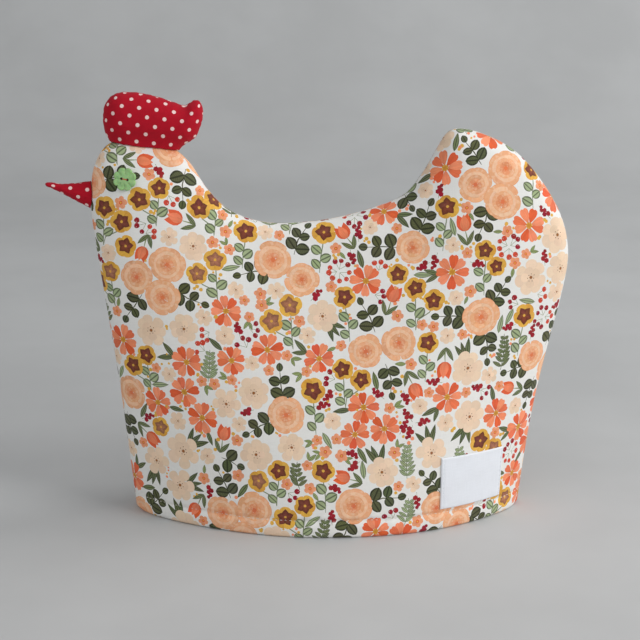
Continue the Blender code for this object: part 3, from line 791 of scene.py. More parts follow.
def small_spray(rng):
    """One small flower, now and then with a leaf or two."""
    d = Drawing(rng)
    kind = rng.choice(SMALL_KINDS)
    if kind == "round" and rng.random() < 0.5:
        heading = rng.uniform(0, LEAF_TURN)
        d.leaves(3.2 * way(heading), heading, int(rng.integers(1, 3)), OLIVE, 6.2, 2.4, 0.9)
    d.include(small_flower(rng, kind), angle=rng.uniform(0, FLOWER_TURN))
    return d


def lone_leaf(rng):
    kind = int(rng.integers(3))
    if kind == 0:
        return round_branch(rng, DARK_LEAF, 1, rng.uniform(7.8, 9.0))
    return leaf(rng, (MID_LEAF, PALE_LEAF)[kind - 1], 12.0, 3.6)


def seed_dots(rng):
    """One to three dots."""
    d = Drawing(rng)
    for k in range(int(rng.integers(1, 4))):
        tint = OCHRE if rng.random() < 0.75 else CORAL_PALE
        d.dot(tint, rng.normal(0, 1.7, 2) * k, rng.uniform(0.7, 1.35), 7)
    return d


# ---- laying the motifs out -----------------------------------------------------------------------
CELL = 0.8                      # mm, cells of the map that keeps motifs apart
MAP_MARGIN = 70.0               # mm of map round the cloth, for motifs that reach over its edge
WIDE_KIND = 40                  # mm, kinds that stand farther apart than this are spread evenly
SPREAD_TRIES = 12               # free spots among which such a motif looks for the loneliest
TRIES = 220                     # random spots tried for each motif
FAR_AWAY = -1e3                 # mm, stands for the last motif where a kind has none yet
UPRIGHT, ANY_WAY = 0.12, math.pi
# motif, kind, how many, most turn either way, least mm to its own kind, whether a cell round it stays free
PRINT_ORDER = [
    (lambda rng: peony_spray(rng, 3), "peony", 4, 0.5, 66, True),
    (lambda rng: peony_spray(rng, 2), "peony", 5, 0.8, 54, True),
    (lambda rng: peony_spray(rng, 1), "peony", 6, 1.6, 42, True),
    (pansy_sprig, "pansy", 26, UPRIGHT, 23, False),
    (cosmos_spray, "cosmos", 20, ANY_WAY, 17, False),
    (anemone_spray, "anemone", 16, ANY_WAY, 21, True),
    (cosmos_spray, "cosmos", 24, ANY_WAY, 17, False),
    (anemone_spray, "anemone", 26, ANY_WAY, 17, True),
    (cluster, "small", 18, ANY_WAY, 24, False),
    (leafy_sprig, "sprig", 20, UPRIGHT, 22, False),
    (lambda rng: pansy(rng, rng.uniform(6.2, 7.4)), "pansy", 18, UPRIGHT, 15, False),
    (lone_leaf, "leaf", 26, ANY_WAY, 12, False),
    (lambda rng: anemone(rng, rng.uniform(4.8, 6.2)), "anemone", 40, ANY_WAY, 11, True),
    (small_spray, "small", 220, ANY_WAY, 0, False),
    (lone_leaf, "leaf", 26, ANY_WAY, 0, False),
    (seed_dots, "dots", 120, ANY_WAY, 0, False),
]


def inside(outline, pts):
    """Which points lie inside a closed outline."""
    x, z = outline[:, 0][:, None], outline[:, 1][:, None]
    x2, z2 = np.roll(x, -1, 0), np.roll(z, -1, 0)
    crosses = (z > pts[:, 1]) != (z2 > pts[:, 1])
    with np.errstate(divide="ignore", invalid="ignore"):
        at = x + (pts[:, 1] - z) / (z2 - z) * (x2 - x)
    return np.count_nonzero(crosses & (pts[:, 0] < at), axis=0) % 2 == 1


def cells_between(low, high):
    """Every cell of a box, its last ones included."""
    gx, gz = np.meshgrid(np.arange(low[0], high[0] + 1), np.arange(low[1], high[1] + 1), indexing="ij")
    return np.stack([gx.ravel(), gz.ravel()], axis=1)


def grown(cells):
    """Cells of a map with their neighbours."""
    out = cells.copy()
    out[1:] |= cells[:-1]
    out[:-1] |= cells[1:]
    out[:, 1:] |= cells[:, :-1]
    out[:, :-1] |= cells[:, 1:]
    return out


def footprint(shapes):
    """Cells that a motif covers, and the cells close around it."""
    every = np.vstack([shape.outline for shape in shapes])
    low = np.floor(every.min(0) / CELL).astype(int) - 3
    high = np.ceil(every.max(0) / CELL).astype(int) + 3
    covered = np.zeros(high - low + 1, bool)
    for shape in shapes:
        cells = cells_between(np.floor(shape.outline.min(0) / CELL).astype(int) - 1,
                              np.ceil(shape.outline.max(0) / CELL).astype(int) + 1)
        hit = cells[inside(shape.outline, cells * CELL)] - low
        covered[hit[:, 0], hit[:, 1]] = True
    wide = grown(grown(covered))
    ring = grown(wide) & ~wide
    return np.argwhere(covered) + low, np.argwhere(ring) + low


class Ground:
    """Map of the flat cloth inside a boundary, with the cells that are already taken."""

    def __init__(self, boundary):
        self.low = boundary.min(0) - MAP_MARGIN
        size = ((boundary.max(0) - self.low + MAP_MARGIN) / CELL).astype(int) + 1
        self.taken = np.zeros(size, bool)
        cells = cells_between((0, 0), size - 1)
        self.home = cells[inside(boundary, cells * CELL + self.low)]
        self.kinds = {}

    def under(self, spots, cells):
        """Whether each of a motif's cells is taken, for each spot where the motif may go."""
        at = spots[:, None, :] + cells[None]
        return self.taken[at[..., 0], at[..., 1]]

    def find_place(self, rng, shapes, kind, apart, keep_clear):
        """Free place in mm for a motif, which then is taken: snug, or lonely for a wide kind; or None."""
        covered, ring = footprint(shapes)
        open_cells = self.home[~self.taken[self.home[:, 0], self.home[:, 1]]]
        spots = open_cells[rng.integers(len(open_cells), size=TRIES)]
        own = self.kinds.setdefault(kind, np.full((1, 2), FAR_AWAY))
        gap = np.linalg.norm(spots[:, None] * CELL - own[None], axis=2).min(1)
        free = ~self.under(spots, covered).any(1) & (gap > apart)
        if not free.any():
            return None
        spots, gap = spots[free], gap[free]
        lonely = spots[gap[:SPREAD_TRIES].argmax()]
        spot = lonely if apart > WIDE_KIND else spots[self.under(spots, ring).mean(1).argmax()]
        self.kinds[kind] = np.vstack([own, spot * CELL])
        mark = np.zeros_like(self.taken)
        mark[tuple((spot + covered).T)] = True
        self.taken |= grown(mark) if keep_clear else mark
        return spot * CELL + self.low


def printed_layout(boundary, seed):
    """Motifs packed over the flat cloth inside a boundary, as shapes from the back to the front."""
    rng = np.random.default_rng(seed)
    ground = Ground(boundary)
    placed = []
    for draw, kind, count, turn, apart, keep_clear in PRINT_ORDER:
        for _ in range(count):
            shapes = moved(draw(rng).shapes, (0, 0), rng.uniform(-turn, turn))
            place = ground.find_place(rng, shapes, kind, apart, keep_clear)
            if place is not None:
                placed += moved(shapes, place)
    return placed


# ---- meshes of the panels ------------------------------------------------------------------------
HEM_TURNS = np.linspace(0, math.pi, 9)[1:]
HEM_ROWS = [2.75, 4.2, 5.6, 6.9, 8.1, 9.1, 10.0, 10.8, 11.6, 12.5, 13.5, 14.7, 16.2, 18.2]      # mm
HEM_COLUMNS = 109               # points along the inner edge of the hem
HEM_RIM_ROWS = 3                # rows above the hem's turn that get points beside the seam as well
FLAT_HEM = HEM_RADIUS / MM      # mm
NEAR_RIM = 5                    # mm, rows beside the seam within this keep all of the seam's points
SIDE_POINTS = 40                # points of the seam that surely pass the height of the hem
FIELD_CLEAR, ROW_CLEAR = 0.7 * CLOTH_STEP, 1.0          # mm between the field or the hem's rows and the rim
PRINT_MERGE, TIGHT_MERGE = 1e-3, 1e-5                   # mm, points closer than this become one
INNER_STEEPEST = 1.2            # slope above which the wall isn't made any deeper
INNER_CLOSED = 9 * MM           # distance over which the inner face opens up beside the seam

# what belongs to a mesh's triangles: paints and tints one a triangle, the rest one a corner
Patch = namedtuple("Patch", "faces normals paints tints brush flat uv")


def grid(columns, rows):
    """Points at every crossing, row after row."""
    return np.array([(x, z) for z in rows for x in columns])


def staggered(low, high, step):
    """Rows of points over a box, every other row moved by half a step."""
    rows = np.arange(low[1] + step / 2, high[1], 0.87 * step)
    return np.array([(x, z) for k, z in enumerate(rows)
                     for x in np.arange(low[0] + (k % 2) * step / 2, high[0], step)])


def at_hem(side):
    """Seam's place at the height where the hem starts to turn under."""
    run = SEAM[:SIDE_POINTS] if side < 0 else SEAM[::-1][:SIDE_POINTS]
    return np.array([[np.interp(HEM_RADIUS, run[:, 1], run[:, 0]), HEM_RADIUS]])


def rim_line(along):
    """Flat points, in mm, of the line at a distance along the cloth from the seam, above the hem."""
    keep = SEAM_SAMPLES[:, 1] > HEM_RADIUS + 0.5 * MM
    seam = np.vstack([at_hem(-1), SEAM_SAMPLES[keep], at_hem(1)])
    return flat_from_profile(seam + into_cloth(seam) * (along - RIM_EXTRA)) / MM


def turned_rows():
    """Heights on the flat cloth, in mm, of the rows of points on the hem's turned part."""
    return [FLAT_HEM * (1 - turn) for turn in HEM_TURNS]


def flat_boundary():
    """Outline of the outer cloth drawn out flat, in mm, from the left end of the hem over the top."""
    seam = rim_line(0.0)
    left = grid(seam[0][:1], turned_rows()[::-1])
    right = grid(seam[-1][:1], turned_rows())
    columns = np.linspace(right[-1][0], left[0][0], HEM_COLUMNS + 2)[1:-1]
    return np.vstack([left, seam, right, grid(columns, [FLAT_HEM * (1 - math.pi)])])


def inner_points(boundary):
    """Points inside the flat cloth: rows beside the seam and on the hem, and a field between."""
    low, high = boundary.min(0), boundary.max(0)
    turned_part = turned_rows()[:-1]
    rings = [rim_line(along * MM)[::1 if along < NEAR_RIM else 2] for along in RIM_STEPS[1:]]
    rings = [ring[ring[:, 1] > HEM_ROWS[0] + 0.4] for ring in rings]
    hem = grid(np.linspace(low[0], high[0], int((high[0] - low[0]) / CLOTH_STEP)), turned_part + HEM_ROWS)
    rim = grid(hem_rim_columns(), turned_part + HEM_ROWS[:HEM_RIM_ROWS])
    pts = np.vstack([hem, staggered(low + [0, HEM_ROWS[-1] - low[1] + 1], high, CLOTH_STEP)])
    pts = pts[inside(boundary, pts)]
    clear = beside_line(boundary, pts)[0] > RIM_STEPS[-1] + FIELD_CLEAR
    above_hem = boundary[:len(boundary) - HEM_COLUMNS]
    low_rows = (pts[:, 1] < HEM_ROWS[-1] + 0.5) & (beside_line(above_hem, pts)[0] > ROW_CLEAR)
    return np.vstack([pts[clear | low_rows], rim] + rings)


def hem_rim_columns():
    """Columns of points beside both ends of the hem."""
    seam = rim_line(0.0)
    return [edge + toward * along for edge, toward in ((seam[0][0], 1), (seam[-1][0], -1))
            for along in RIM_STEPS[1:]]


def inner_depth(pts):
    """Depth of the inner face: the outer one less the wall, closed down at the seam."""
    value, slope_x, slope_z = SWELL.at(pts)
    dist, _ = nearest_on_rim(pts)
    slope = np.clip(np.hypot(slope_x, slope_z), 0, INNER_STEEPEST)
    depth = HALF_GAP + SHOULDER * roll(dist, SHOULDER) + value
    room = np.clip(depth - WALL * np.sqrt(1 + slope**2) - HALF_GAP, 0, None)
    return HALF_GAP + room * smoothstep((dist - WALL) / INNER_CLOSED)


def ordered_rim(faces):
    """Vertices of a patch's open edge, counter-clockwise; the longest loop, should slivers leave others."""
    edges = np.vstack([faces[:, [0, 1]], faces[:, [1, 2]], faces[:, [2, 0]]])
    have = {(a, b) for a, b in edges.tolist()}
    follow = {}
    for a, b in have:
        if (b, a) not in have:
            follow.setdefault(a, []).append(b)
    loops = []
    while follow:
        loop = [next(iter(follow))]
        while loop[-1] in follow:
            ahead = follow[loop[-1]]
            step = ahead.pop()
            if not ahead:
                del follow[loop[-1]]
            loop.append(step)
        loops.append(loop[:-1])
    return np.array(max(loops, key=len))


def point_numbers(rings):
    """Numbers of the points of each ring, where all rings are listed one after another."""
    ends = np.cumsum([len(ring) for ring in rings])
    return [list(range(end - len(ring), end)) for ring, end in zip(rings, ends)]


def ring_edges(loops):
    """Pairs of neighbours round each loop of point numbers."""
    return [pair for ids in loops for pair in zip(ids, ids[1:] + ids[:1])]


def triangles(points, edges=(), outline=()):
    """Triangles between flat points, cut along the edges or kept within an outline of some of the points."""
    points = [Vector(p) for p in points.tolist()]
    loops, kept = ([list(outline)], 1) if outline else ([], 0)
    _, _, faces, source, _, _ = delaunay_2d_cdt(points, list(edges), loops, kept, TIGHT_MERGE)
    return np.array([ids[0] for ids in source])[np.array(faces)]


def printed_patch(boundary, pts, shapes):
    """Flat cloth cut along every painted outline, with the painted shape that is on top of each triangle."""
    rings = [boundary] + [shape.outline for shape in shapes]
    points = [Vector(p) for p in np.vstack(rings + [pts]).tolist()]
    verts, _, tris, _, _, _ = delaunay_2d_cdt(points, ring_edges(point_numbers(rings)), [], 0, PRINT_MERGE)
    flat, tris = np.array([tuple(v) for v in verts]), np.array(tris)
    middles = flat[tris].mean(axis=1)
    within = np.concatenate([inside(boundary, middles[k:k + BLOCK]) for k in range(0, len(middles), BLOCK)])
    tris, middles = tris[within], middles[within]
    order = np.argsort(middles[:, 0])
    tris, middles = tris[order], middles[order]
    top = np.full(len(tris), -1)
    for n, shape in enumerate(shapes):
        low, high = shape.outline.min(0), shape.outline.max(0)
        first, last = np.searchsorted(middles[:, 0], [low[0], high[0]])
        near = first + np.flatnonzero((middles[first:last, 1] > low[1]) & (middles[first:last, 1] < high[1]))
        top[near[inside(shape.outline, middles[near])]] = n
    used, inverse = np.unique(tris, return_inverse=True)
    return flat[used], inverse.reshape(tris.shape), top


def panel(name, side, seed, materials):
    """Printed panel, and the outline of its cloth drawn out flat."""
    boundary = flat_boundary()
    shapes = [shape for shape in printed_layout(boundary, seed) if inside(boundary, shape.outline).any()]
    flat, tris, top = printed_patch(boundary, inner_points(boundary), shapes)
    pts, dist, away, turn = profile_from_flat(flat * MM)
    rim = ordered_rim(tris)
    on_hem = flat[rim][:, 1] < boundary[:, 1].min() + PRINT_MERGE
    dist[rim[~on_hem]] = 0.0
    place, normal = outer_surface(pts, dist, away, turn, side)
    place[rim[~on_hem], 1] = side * HALF_GAP

    faces = tris if side < 0 else tris[:, ::-1]
    paints, tints, brush = paint_of(shapes, flat, faces, top)
    low, size = flat.min(0), (flat.max(0) - flat.min(0)).max()
    corners = faces.ravel()
    printed = Patch(faces, normal[corners], paints, tints, brush, flat[corners], (flat[corners] - low) / size)
    points, plain = inner_side(place, rim, on_hem, side, size)
    return panel_object(name, points, (printed, plain), materials), boundary


def paint_of(shapes, flat, faces, top):
    """Paint and tint of each triangle, and the brush place of each of its corners."""
    bare = Shape(PLAIN, IVORY, None, np.zeros(2), np.zeros((2, 2)), 0.0)
    every = [bare] + shapes
    paints, tints, origins, axes, seeds = (np.array([getattr(shape, field) for shape in every])[top + 1]
                                           for field in ("paint", "tint", "origin", "axes", "seed"))
    local = np.einsum("fck,fkj->fcj", flat[faces] - origins[:, None, :], axes)
    brush = np.dstack([local, np.repeat(seeds[:, None], 3, axis=1)]).reshape(-1, 3)
    return paints, tints, brush


def inner_rows():
    """Lowest row of the inner face, its line inside the seam and the points between, on the profile."""
    edge = spaced(SEAM[SEAM[:, 1] > HEM_RADIUS + 3 * MM], 5 * MM)
    arch = (edge + into_cloth(edge) * WALL)[::-1]
    columns = np.linspace(arch[-1, 0], arch[0, 0], int((arch[0, 0] - arch[-1, 0]) / INNER_STEP))
    row = grid(columns, [INNER_FOOT])
    loop = np.vstack([row, arch])
    field = staggered(loop.min(0), loop.max(0), INNER_STEP)
    field = field[inside(loop, field)]
    closed = np.vstack([loop, loop[:1]])
    return row, arch, field[beside_line(closed, field)[0] > 0.45 * INNER_STEP]


# small corner of the square map that the inner face takes
INNER_UV_SHIFT, INNER_UV_SCALE, INNER_UV_CORNER = (0.17, -0.2), 0.18, (0.0, 0.985)


def inner_side(outer, rim, on_hem, side, size):
    """Points of the whole panel, and the patch of its strip along the seam and its plain inner face."""
    first = int(np.argmax(on_hem & ~np.roll(on_hem, 1)))
    rim, on_hem = np.roll(rim, -first), np.roll(on_hem, -first)
    hem, seam = rim[on_hem], rim[~on_hem]                   # left to right, then over the top to the left
    row, arch, field = inner_rows()
    pts = np.vstack([row, arch, field])
    depth = inner_depth(pts)
    depth[len(row):len(row) + len(arch)] = HALF_GAP
    every = np.vstack([outer, np.column_stack([pts[:, 0], side * depth, pts[:, 1]])])
    row_ids = len(outer) + np.arange(len(row))
    arch_ids = len(outer) + len(row) + np.arange(len(arch))
    faces = zipped(hem, row_ids, every)
    faces += zipped([hem[-1], *seam, hem[0]], [row_ids[-1], *arch_ids, row_ids[0]], every)
    faces = np.vstack([faces, len(outer) + triangles(pts / MM, outline=range(len(row) + len(arch)))])
    if side < 0:
        faces = faces[:, ::-1]
    corners = faces.ravel()
    flat = every[corners][:, [0, 2]]
    uv = (flat + INNER_UV_SHIFT) * INNER_UV_SCALE / (size * MM) + INNER_UV_CORNER
    return every, Patch(faces, vertex_normals(every, faces)[corners], np.full(len(faces), PLAIN),
                        np.tile(IVORY, (len(faces), 1)), np.zeros((len(corners), 3)), flat / MM, uv)


def zipped(outer, inner, places):
    """Triangles between two lines of vertices side by side, counter-clockwise round the outer one."""
    faces, i, j = [], 0, 0
    while i < len(outer) - 1 or j < len(inner) - 1:
        if j == len(inner) - 1:
            step_outer = True
        elif i == len(outer) - 1:
            step_outer = False
        else:
            ahead = np.linalg.norm(places[outer[i + 1]] - places[inner[j]])
            step_outer = ahead <= np.linalg.norm(places[outer[i]] - places[inner[j + 1]])
        if step_outer:
            faces.append((outer[i], outer[i + 1], inner[j]))
            i += 1
        else:
            faces.append((outer[i], inner[j + 1], inner[j]))
            j += 1
    return faces


def vertex_normals(places, faces):
    a, b, c = (places[faces[:, k]] for k in range(3))
    cross = np.cross(b - a, c - a)
    normals = np.zeros_like(places)
    for k in range(3):
        np.add.at(normals, faces[:, k], cross)
    return normals / np.maximum(np.linalg.norm(normals, axis=1), 1e-15)[:, None]


def panel_object(name, points, patches, materials):
    """Object of a panel's patches, with what its materials read stored at the corners."""
    faces, normals, paints, tints, brush, flat, uv = (np.concatenate(rows) for rows in zip(*patches))
    mesh = bpy.data.meshes.new(name)
    mesh.from_pydata(points.tolist(), [], faces.tolist())
    mesh.shade_smooth()
    for material in materials:
        mesh.materials.append(material)
    mesh.polygons.foreach_set("material_index", paints.astype(np.int32))
    rgba = np.ones((len(mesh.loops), 4), np.float32)
    rgba[:, :3] = np.repeat(tints, 3, axis=0)
    mesh.attributes.new("tint", "FLOAT_COLOR", "CORNER").data.foreach_set("color", rgba.ravel())
    store_vectors(mesh, "brush", "CORNER", brush)
    store_vectors(mesh, "cloth", "CORNER", flat)
    mesh.uv_layers.new(name="OFBake").data.foreach_set("uv", uv.astype(np.float32).ravel())
    mesh.normals_split_custom_set(normals.tolist())
    return linked(name, mesh)


# ---- materials -----------------------------------------------------------------------------------
class Nodes:
    """Short ways to build a material's node tree; inputs are numbers, colours or sockets."""

    def __init__(self, name, roughness=0.88, specular=0.3, sheen=0.0):
        self.material = bpy.data.materials.new(name)
        self.material.use_nodes = True
        self.tree = self.material.node_tree
        self.inputs = self.tree.nodes["Principled BSDF"].inputs
        self.surface("Roughness", roughness)
        self.surface("Specular IOR Level", specular)
        self.surface("Sheen Weight", sheen)
        self.surface("Sheen Roughness", 0.45)

    def surface(self, name, value):
        """Sets an input of the surface's own shader."""
        self.plug(self.inputs[name], value)

    def plug(self, socket, value):
        if isinstance(value, bpy.types.NodeSocket):
            self.tree.links.new(value, socket)
        elif isinstance(value, (int, float)):
            socket.default_value = value
        else:
            row = [float(v) for v in value]
            socket.default_value = row + [1.0] * (len(socket.default_value) - len(row))

    def node(self, kind, values, **settings):
        """New node of a kind with its settings, its inputs given by name or place."""
        node = self.tree.nodes.new("ShaderNode" + kind)
        for key, value in settings.items():
            setattr(node, key, value)
        for key, value in values.items():
            self.plug(node.inputs[key], value)
        return node.outputs

    def math(self, operation, *values):
        return self.node("Math", dict(enumerate(values)), operation=operation)[0]

    def add(self, a, b):
        return self.math("ADD", a, b)

    def sub(self, a, b):
        return self.math("SUBTRACT", a, b)

    def mul(self, a, b):
        return self.math("MULTIPLY", a, b)

    def scaled(self, a, factor, rest):
        """A value times a factor, plus the rest."""
        return self.math("MULTIPLY_ADD", a, factor, rest)

    def largest(self, *values):
        most = values[0]
        for value in values[1:]:
            most = self.math("MAXIMUM", most, value)
        return most

    def hypot(self, a, b):
        return self.math("SQRT", self.add(self.mul(a, a), self.mul(b, b)))

    def vector(self, operation, a, b):
        return self.node("VectorMath", {0: a, 1: b}, operation=operation)["Vector"]

    def attribute(self, name, output="Vector"):
        return self.node("Attribute", {}, attribute_name=name)[output]

    def position(self):
        return self.node("NewGeometry", {})["Position"]

    def parts(self, vector):
        return self.node("SeparateXYZ", {0: vector})[:3]

    def joined(self, x, y, z=0.0):
        return self.node("CombineXYZ", {0: x, 1: y, 2: z})[0]

    def noise(self, vector, scale, detail=2.0, roughness=0.5):
        return self.node("TexNoise", {"Vector": vector, "Scale": scale, "Detail": detail,
                                      "Roughness": roughness})["Fac"]

    def span(self, value, low, high, to_low=0.0, to_high=1.0):
        """Maps a value smoothly from one range to another."""
        values = dict(enumerate((value, low, high, to_low, to_high)))
        return self.node("MapRange", values, interpolation_type="SMOOTHSTEP")[0]

    def mix(self, share, a, b):
        return self.node("Mix", {"Factor": share, 6: a, 7: b}, data_type="RGBA")[2]

    def shade(self, colour, amount):
        """Colour made lighter or darker by a factor."""
        return self.vector("MULTIPLY", colour, self.joined(amount, amount, amount))

    def bump(self, height, distance, under=None):
        values = {"Height": height, "Distance": distance}
        if under is not None:
            values["Normal"] = under
        return self.node("Bump", values)[0]


def plain_weave(n, cloth, pitch):
    """Height of crossing threads, and uneven threads running both ways."""
    x, y, _ = n.parts(cloth)
    half_wave = math.pi / pitch
    cross = n.mul(n.math("SINE", n.mul(x, half_wave)), n.math("SINE", n.mul(y, half_wave)))
    slub_x = n.noise(n.joined(n.mul(x, 0.12), n.mul(y, 1.5 / pitch)), 1.0, 1.0)
    slub_y = n.noise(n.joined(n.mul(x, 1.5 / pitch), n.mul(y, 0.12)), 1.0, 1.0)
    return cross, n.sub(n.add(slub_x, slub_y), 1.0)


def cotton(n, colour, cloth, pitch=0.42, depth=0.045):
    """Makes a material's surface woven cotton of a colour; returns the material and the weave's normal."""
    cross, slubs = plain_weave(n, cloth, pitch)
    fuzz = n.noise(cloth, 2.6, 3.0, 0.6)
    n.surface("Base Color", n.shade(colour, n.scaled(cross, 0.02, n.scaled(slubs, 0.1, 1.0))))
    height = n.add(n.mul(cross, 0.5), n.add(slubs, n.mul(fuzz, 0.5)))
    weave = n.bump(height, depth * MM)
    n.surface("Normal", weave)
    return n.material, weave


# what a way of painting starts from: tint, place on the cloth, shares along and across a petal, its seed
Brush = namedtuple("Brush", "tint cloth along across seed")


def print_paints():
    """The materials of the printed cloth, in the order of the ways of painting."""
    made = []
    for name, paint in (("ground", paint_plain), ("petal", paint_petal), ("leaf", paint_leaf),
                        ("bloom", paint_bloom), ("disc", paint_disc), ("wash", paint_wash)):
        n = Nodes("printed_" + name, sheen=0.12)
        brush = Brush(n.attribute("tint", "Color"), n.attribute("cloth"), *n.parts(n.attribute("brush")))
        made.append(cotton(n, paint(n, brush), brush.cloth)[0])
    return made


def watercolour(n, brush, amount):
    """Uneven wash over a tint."""
    shifted = n.vector("ADD", brush.cloth, n.joined(0.0, 0.0, n.mul(brush.seed, 40.0)))
    wash = n.sub(n.scaled(n.noise(shifted, 1.3), 0.6, n.noise(shifted, 0.34)), 0.8)
    return n.shade(brush.tint, n.scaled(wash, 2 * amount, 1.0))


def paint_plain(n, brush):
    return watercolour(n, brush, 0.025)


def paint_petal(n, brush):
    """Brushed petal: streaks along it, deeper at the foot and thinner at the tip."""
    place = n.joined(n.mul(brush.along, 1.4), n.mul(brush.across, 3.2), n.mul(brush.seed, 50.0))
    streak = n.sub(n.noise(place, 1.0), 0.5)
    toned = n.shade(watercolour(n, brush, 0.07), n.scaled(streak, 0.42, 1.0))
    return n.shade(toned, n.span(brush.along, 0.0, 0.55, 0.86, 1.03))


def paint_wash(n, brush):
    """Pale translucent petal: a flat wash, a little deeper at its foot and along its rim."""
    toned = n.shade(watercolour(n, brush, 0.05), n.span(brush.along, 0.0, 0.4, 0.9, 1.0))
    return n.shade(toned, n.span(n.math("ABSOLUTE", brush.across), 0.7, 1.0, 1.0, 0.95))


def paint_leaf(n, brush):
    """Leaf with a midrib, a darker rim and, where its tint is dark, side veins."""
    wash = n.shade(watercolour(n, brush, 0.16), 1.08)
    reach = n.math("ABSOLUTE", brush.across)
    swell_along = n.math("SINE", n.mul(n.math("POWER", n.largest(brush.along, 0.001), 0.85), math.pi))
    half_width = n.largest(n.math("POWER", n.largest(swell_along, 0.001), 0.87), 0.06)
    rim = n.span(n.math("DIVIDE", reach, half_width), 0.62, 0.8)
    midrib = n.span(reach, 0.2, 0.08)
    rows = n.math("FRACT", n.mul(n.sub(brush.along, n.mul(reach, 0.2)), 8.0))
    vein = n.span(n.math("ABSOLUTE", n.sub(rows, 0.5)), 0.2, 0.06, 0.0, 0.6)
    dark_tint = n.span(n.parts(brush.tint)[1], 0.2, 0.14)
    line = n.largest(rim, midrib, n.mul(vein, dark_tint))
    return n.mix(n.mul(line, 0.95), wash, n.shade(wash, 0.3))


def paint_bloom(n, brush):
    """Petal of a full bloom: blots of pale and deep, deep at its foot and along its tip."""
    wash = watercolour(n, brush, 0.06)
    deep = n.vector("MULTIPLY", wash, (0.94, 0.66, 0.48))
    pale = n.mix(0.5, wash, PEACH_PALE)
    place = n.joined(brush.along, brush.across, n.mul(brush.seed, 30.0))
    blots = n.span(n.noise(place, 2.1, 3.0, 0.6), 0.5, 0.7, 0.0, 0.35)
    light = n.span(n.noise(n.vector("ADD", place, (9.0, 4.0, 0.0)), 1.9), 0.46, 0.64, 0.0, 0.9)
    foot = n.span(brush.along, 0.6, 0.25, 0.0, 0.6)
    rounded = n.add(brush.along, n.mul(n.mul(brush.across, brush.across), 0.2))
    tip = n.span(rounded, 0.9, 1.0, 0.0, 0.75)
    return n.mix(n.largest(blots, foot, tip), n.mix(light, wash, pale), deep)


def paint_disc(n, brush):
    """Star of a pansy: speckled, darker towards its tips."""
    speckle = n.mul(n.sub(n.noise(brush.cloth, 2.2), 0.5), 1.3)
    darker = n.span(n.hypot(brush.along, brush.across), 0.35, 0.95, 1.12, 0.74)
    return n.shade(brush.tint, n.add(darker, speckle))


DOT_PITCH, DOT_RADIUS, DOT_TURN = 10.65, 1.22, -6.5      # mm, mm, degrees
DOT_EDGE = 0.012                # half the softness of a dot's edge, as a share of the pitch


def dotted_cotton(name, seam_half_width):
    """Red cotton with staggered white dots, and the seam round the free edge pressed in."""
    n = Nodes(name, specular=0.22, sheen=0.05)
    cloth = n.attribute("cloth")
    x, y, beside = n.parts(cloth)
    c, s = way(math.radians(DOT_TURN)) / DOT_PITCH
    u = n.add(n.mul(x, c), n.mul(y, s))
    v = n.sub(n.mul(y, c), n.mul(x, s))
    gaps = []
    for shift in (0.0, 0.5):
        du, dv = (n.sub(n.math("FRACT", n.add(w, shift)), 0.5) for w in (u, v))
        gaps.append(n.hypot(du, dv))
    edge = n.scaled(n.sub(n.noise(cloth, 1.8), 0.5), 0.03, n.math("MINIMUM", *gaps))
    dot = n.span(edge, DOT_RADIUS / DOT_PITCH + DOT_EDGE, DOT_RADIUS / DOT_PITCH - DOT_EDGE)
    red = n.shade(RED, n.scaled(n.noise(cloth, 0.25), 0.2, 0.9))
    material, weave = cotton(n, n.mix(dot, red, DOT_WHITE), cloth)
    n.surface("Normal", n.bump(n.span(beside, 0.0, seam_half_width), 0.5 * MM, weave))
    return material


def label_paint():
    n = Nodes("label_cotton", sheen=0.1)
    cloth = n.attribute("cloth")
    return cotton(n, n.shade(LABEL_WHITE, n.scaled(n.noise(cloth, 0.12), 0.05, 0.97)), cloth, 0.5, 0.05)[0]


def button_paint():
    """Moulded plastic, a little cloudy, with painted shade that darkens it down in the thread holes."""
    n = Nodes("green_plastic", roughness=0.32, specular=0.5)
    cloud = n.noise(n.position(), 260.0)
    # painted shade: the colour darkens towards the floor of each thread hole as the share of shade stored on
    # the button's points rises
    hollow = n.span(n.attribute("hollow", "Fac"), 0.0, 1.0, 1.0, 0.06)
    n.surface("Base Color", n.shade(BUTTON_GREEN, n.mul(n.span(cloud, 0.3, 0.7, 0.94, 1.05), hollow)))
    n.surface("Roughness", n.span(cloud, 0.3, 0.7, 0.28, 0.38))
    n.surface("Subsurface Weight", 0.15)
    n.surface("Subsurface Scale", 0.001)
    return n.material


def thread_paint(name, colour):
    n = Nodes(name, roughness=0.75, sheen=0.15)
    twist = n.noise(n.position(), 1800.0, 1.0)
    n.surface("Base Color", n.shade(colour, n.span(twist, 0.3, 0.7, 0.82, 1.08)))
    n.surface("Normal", n.bump(twist, 0.08 * MM))
    return n.material


def floor_paint():
    n = Nodes("pale_floor", roughness=0.8, specular=0.2)
    cloudy = n.noise(n.position(), 5.0, 4.0, 0.55)
    n.surface("Base Color", n.shade(STAGE_GREY, n.span(cloudy, 0.3, 0.7, 0.95, 1.04)))
    return n.material


# ---- placing -------------------------------------------------------------------------------------
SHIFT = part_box("front_panel")[0][0] - SEAM[:, 0].min()


def settle(obj, *nodes):
    """Moves a piece from the profile's place to the cosy's own, rides it and stands it for CAD nodes."""
    obj.data.transform(Matrix.Translation((SHIFT, 0, 0)))
    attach(obj, "root")
    if nodes:
        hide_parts(*nodes)


def mesh_object(name, bm, material):
    mesh = bpy.data.meshes.new(name)
    bm.to_mesh(mesh)
    bm.free()
    mesh.shade_smooth()
    mesh.materials.append(material)
    return linked(name, mesh)


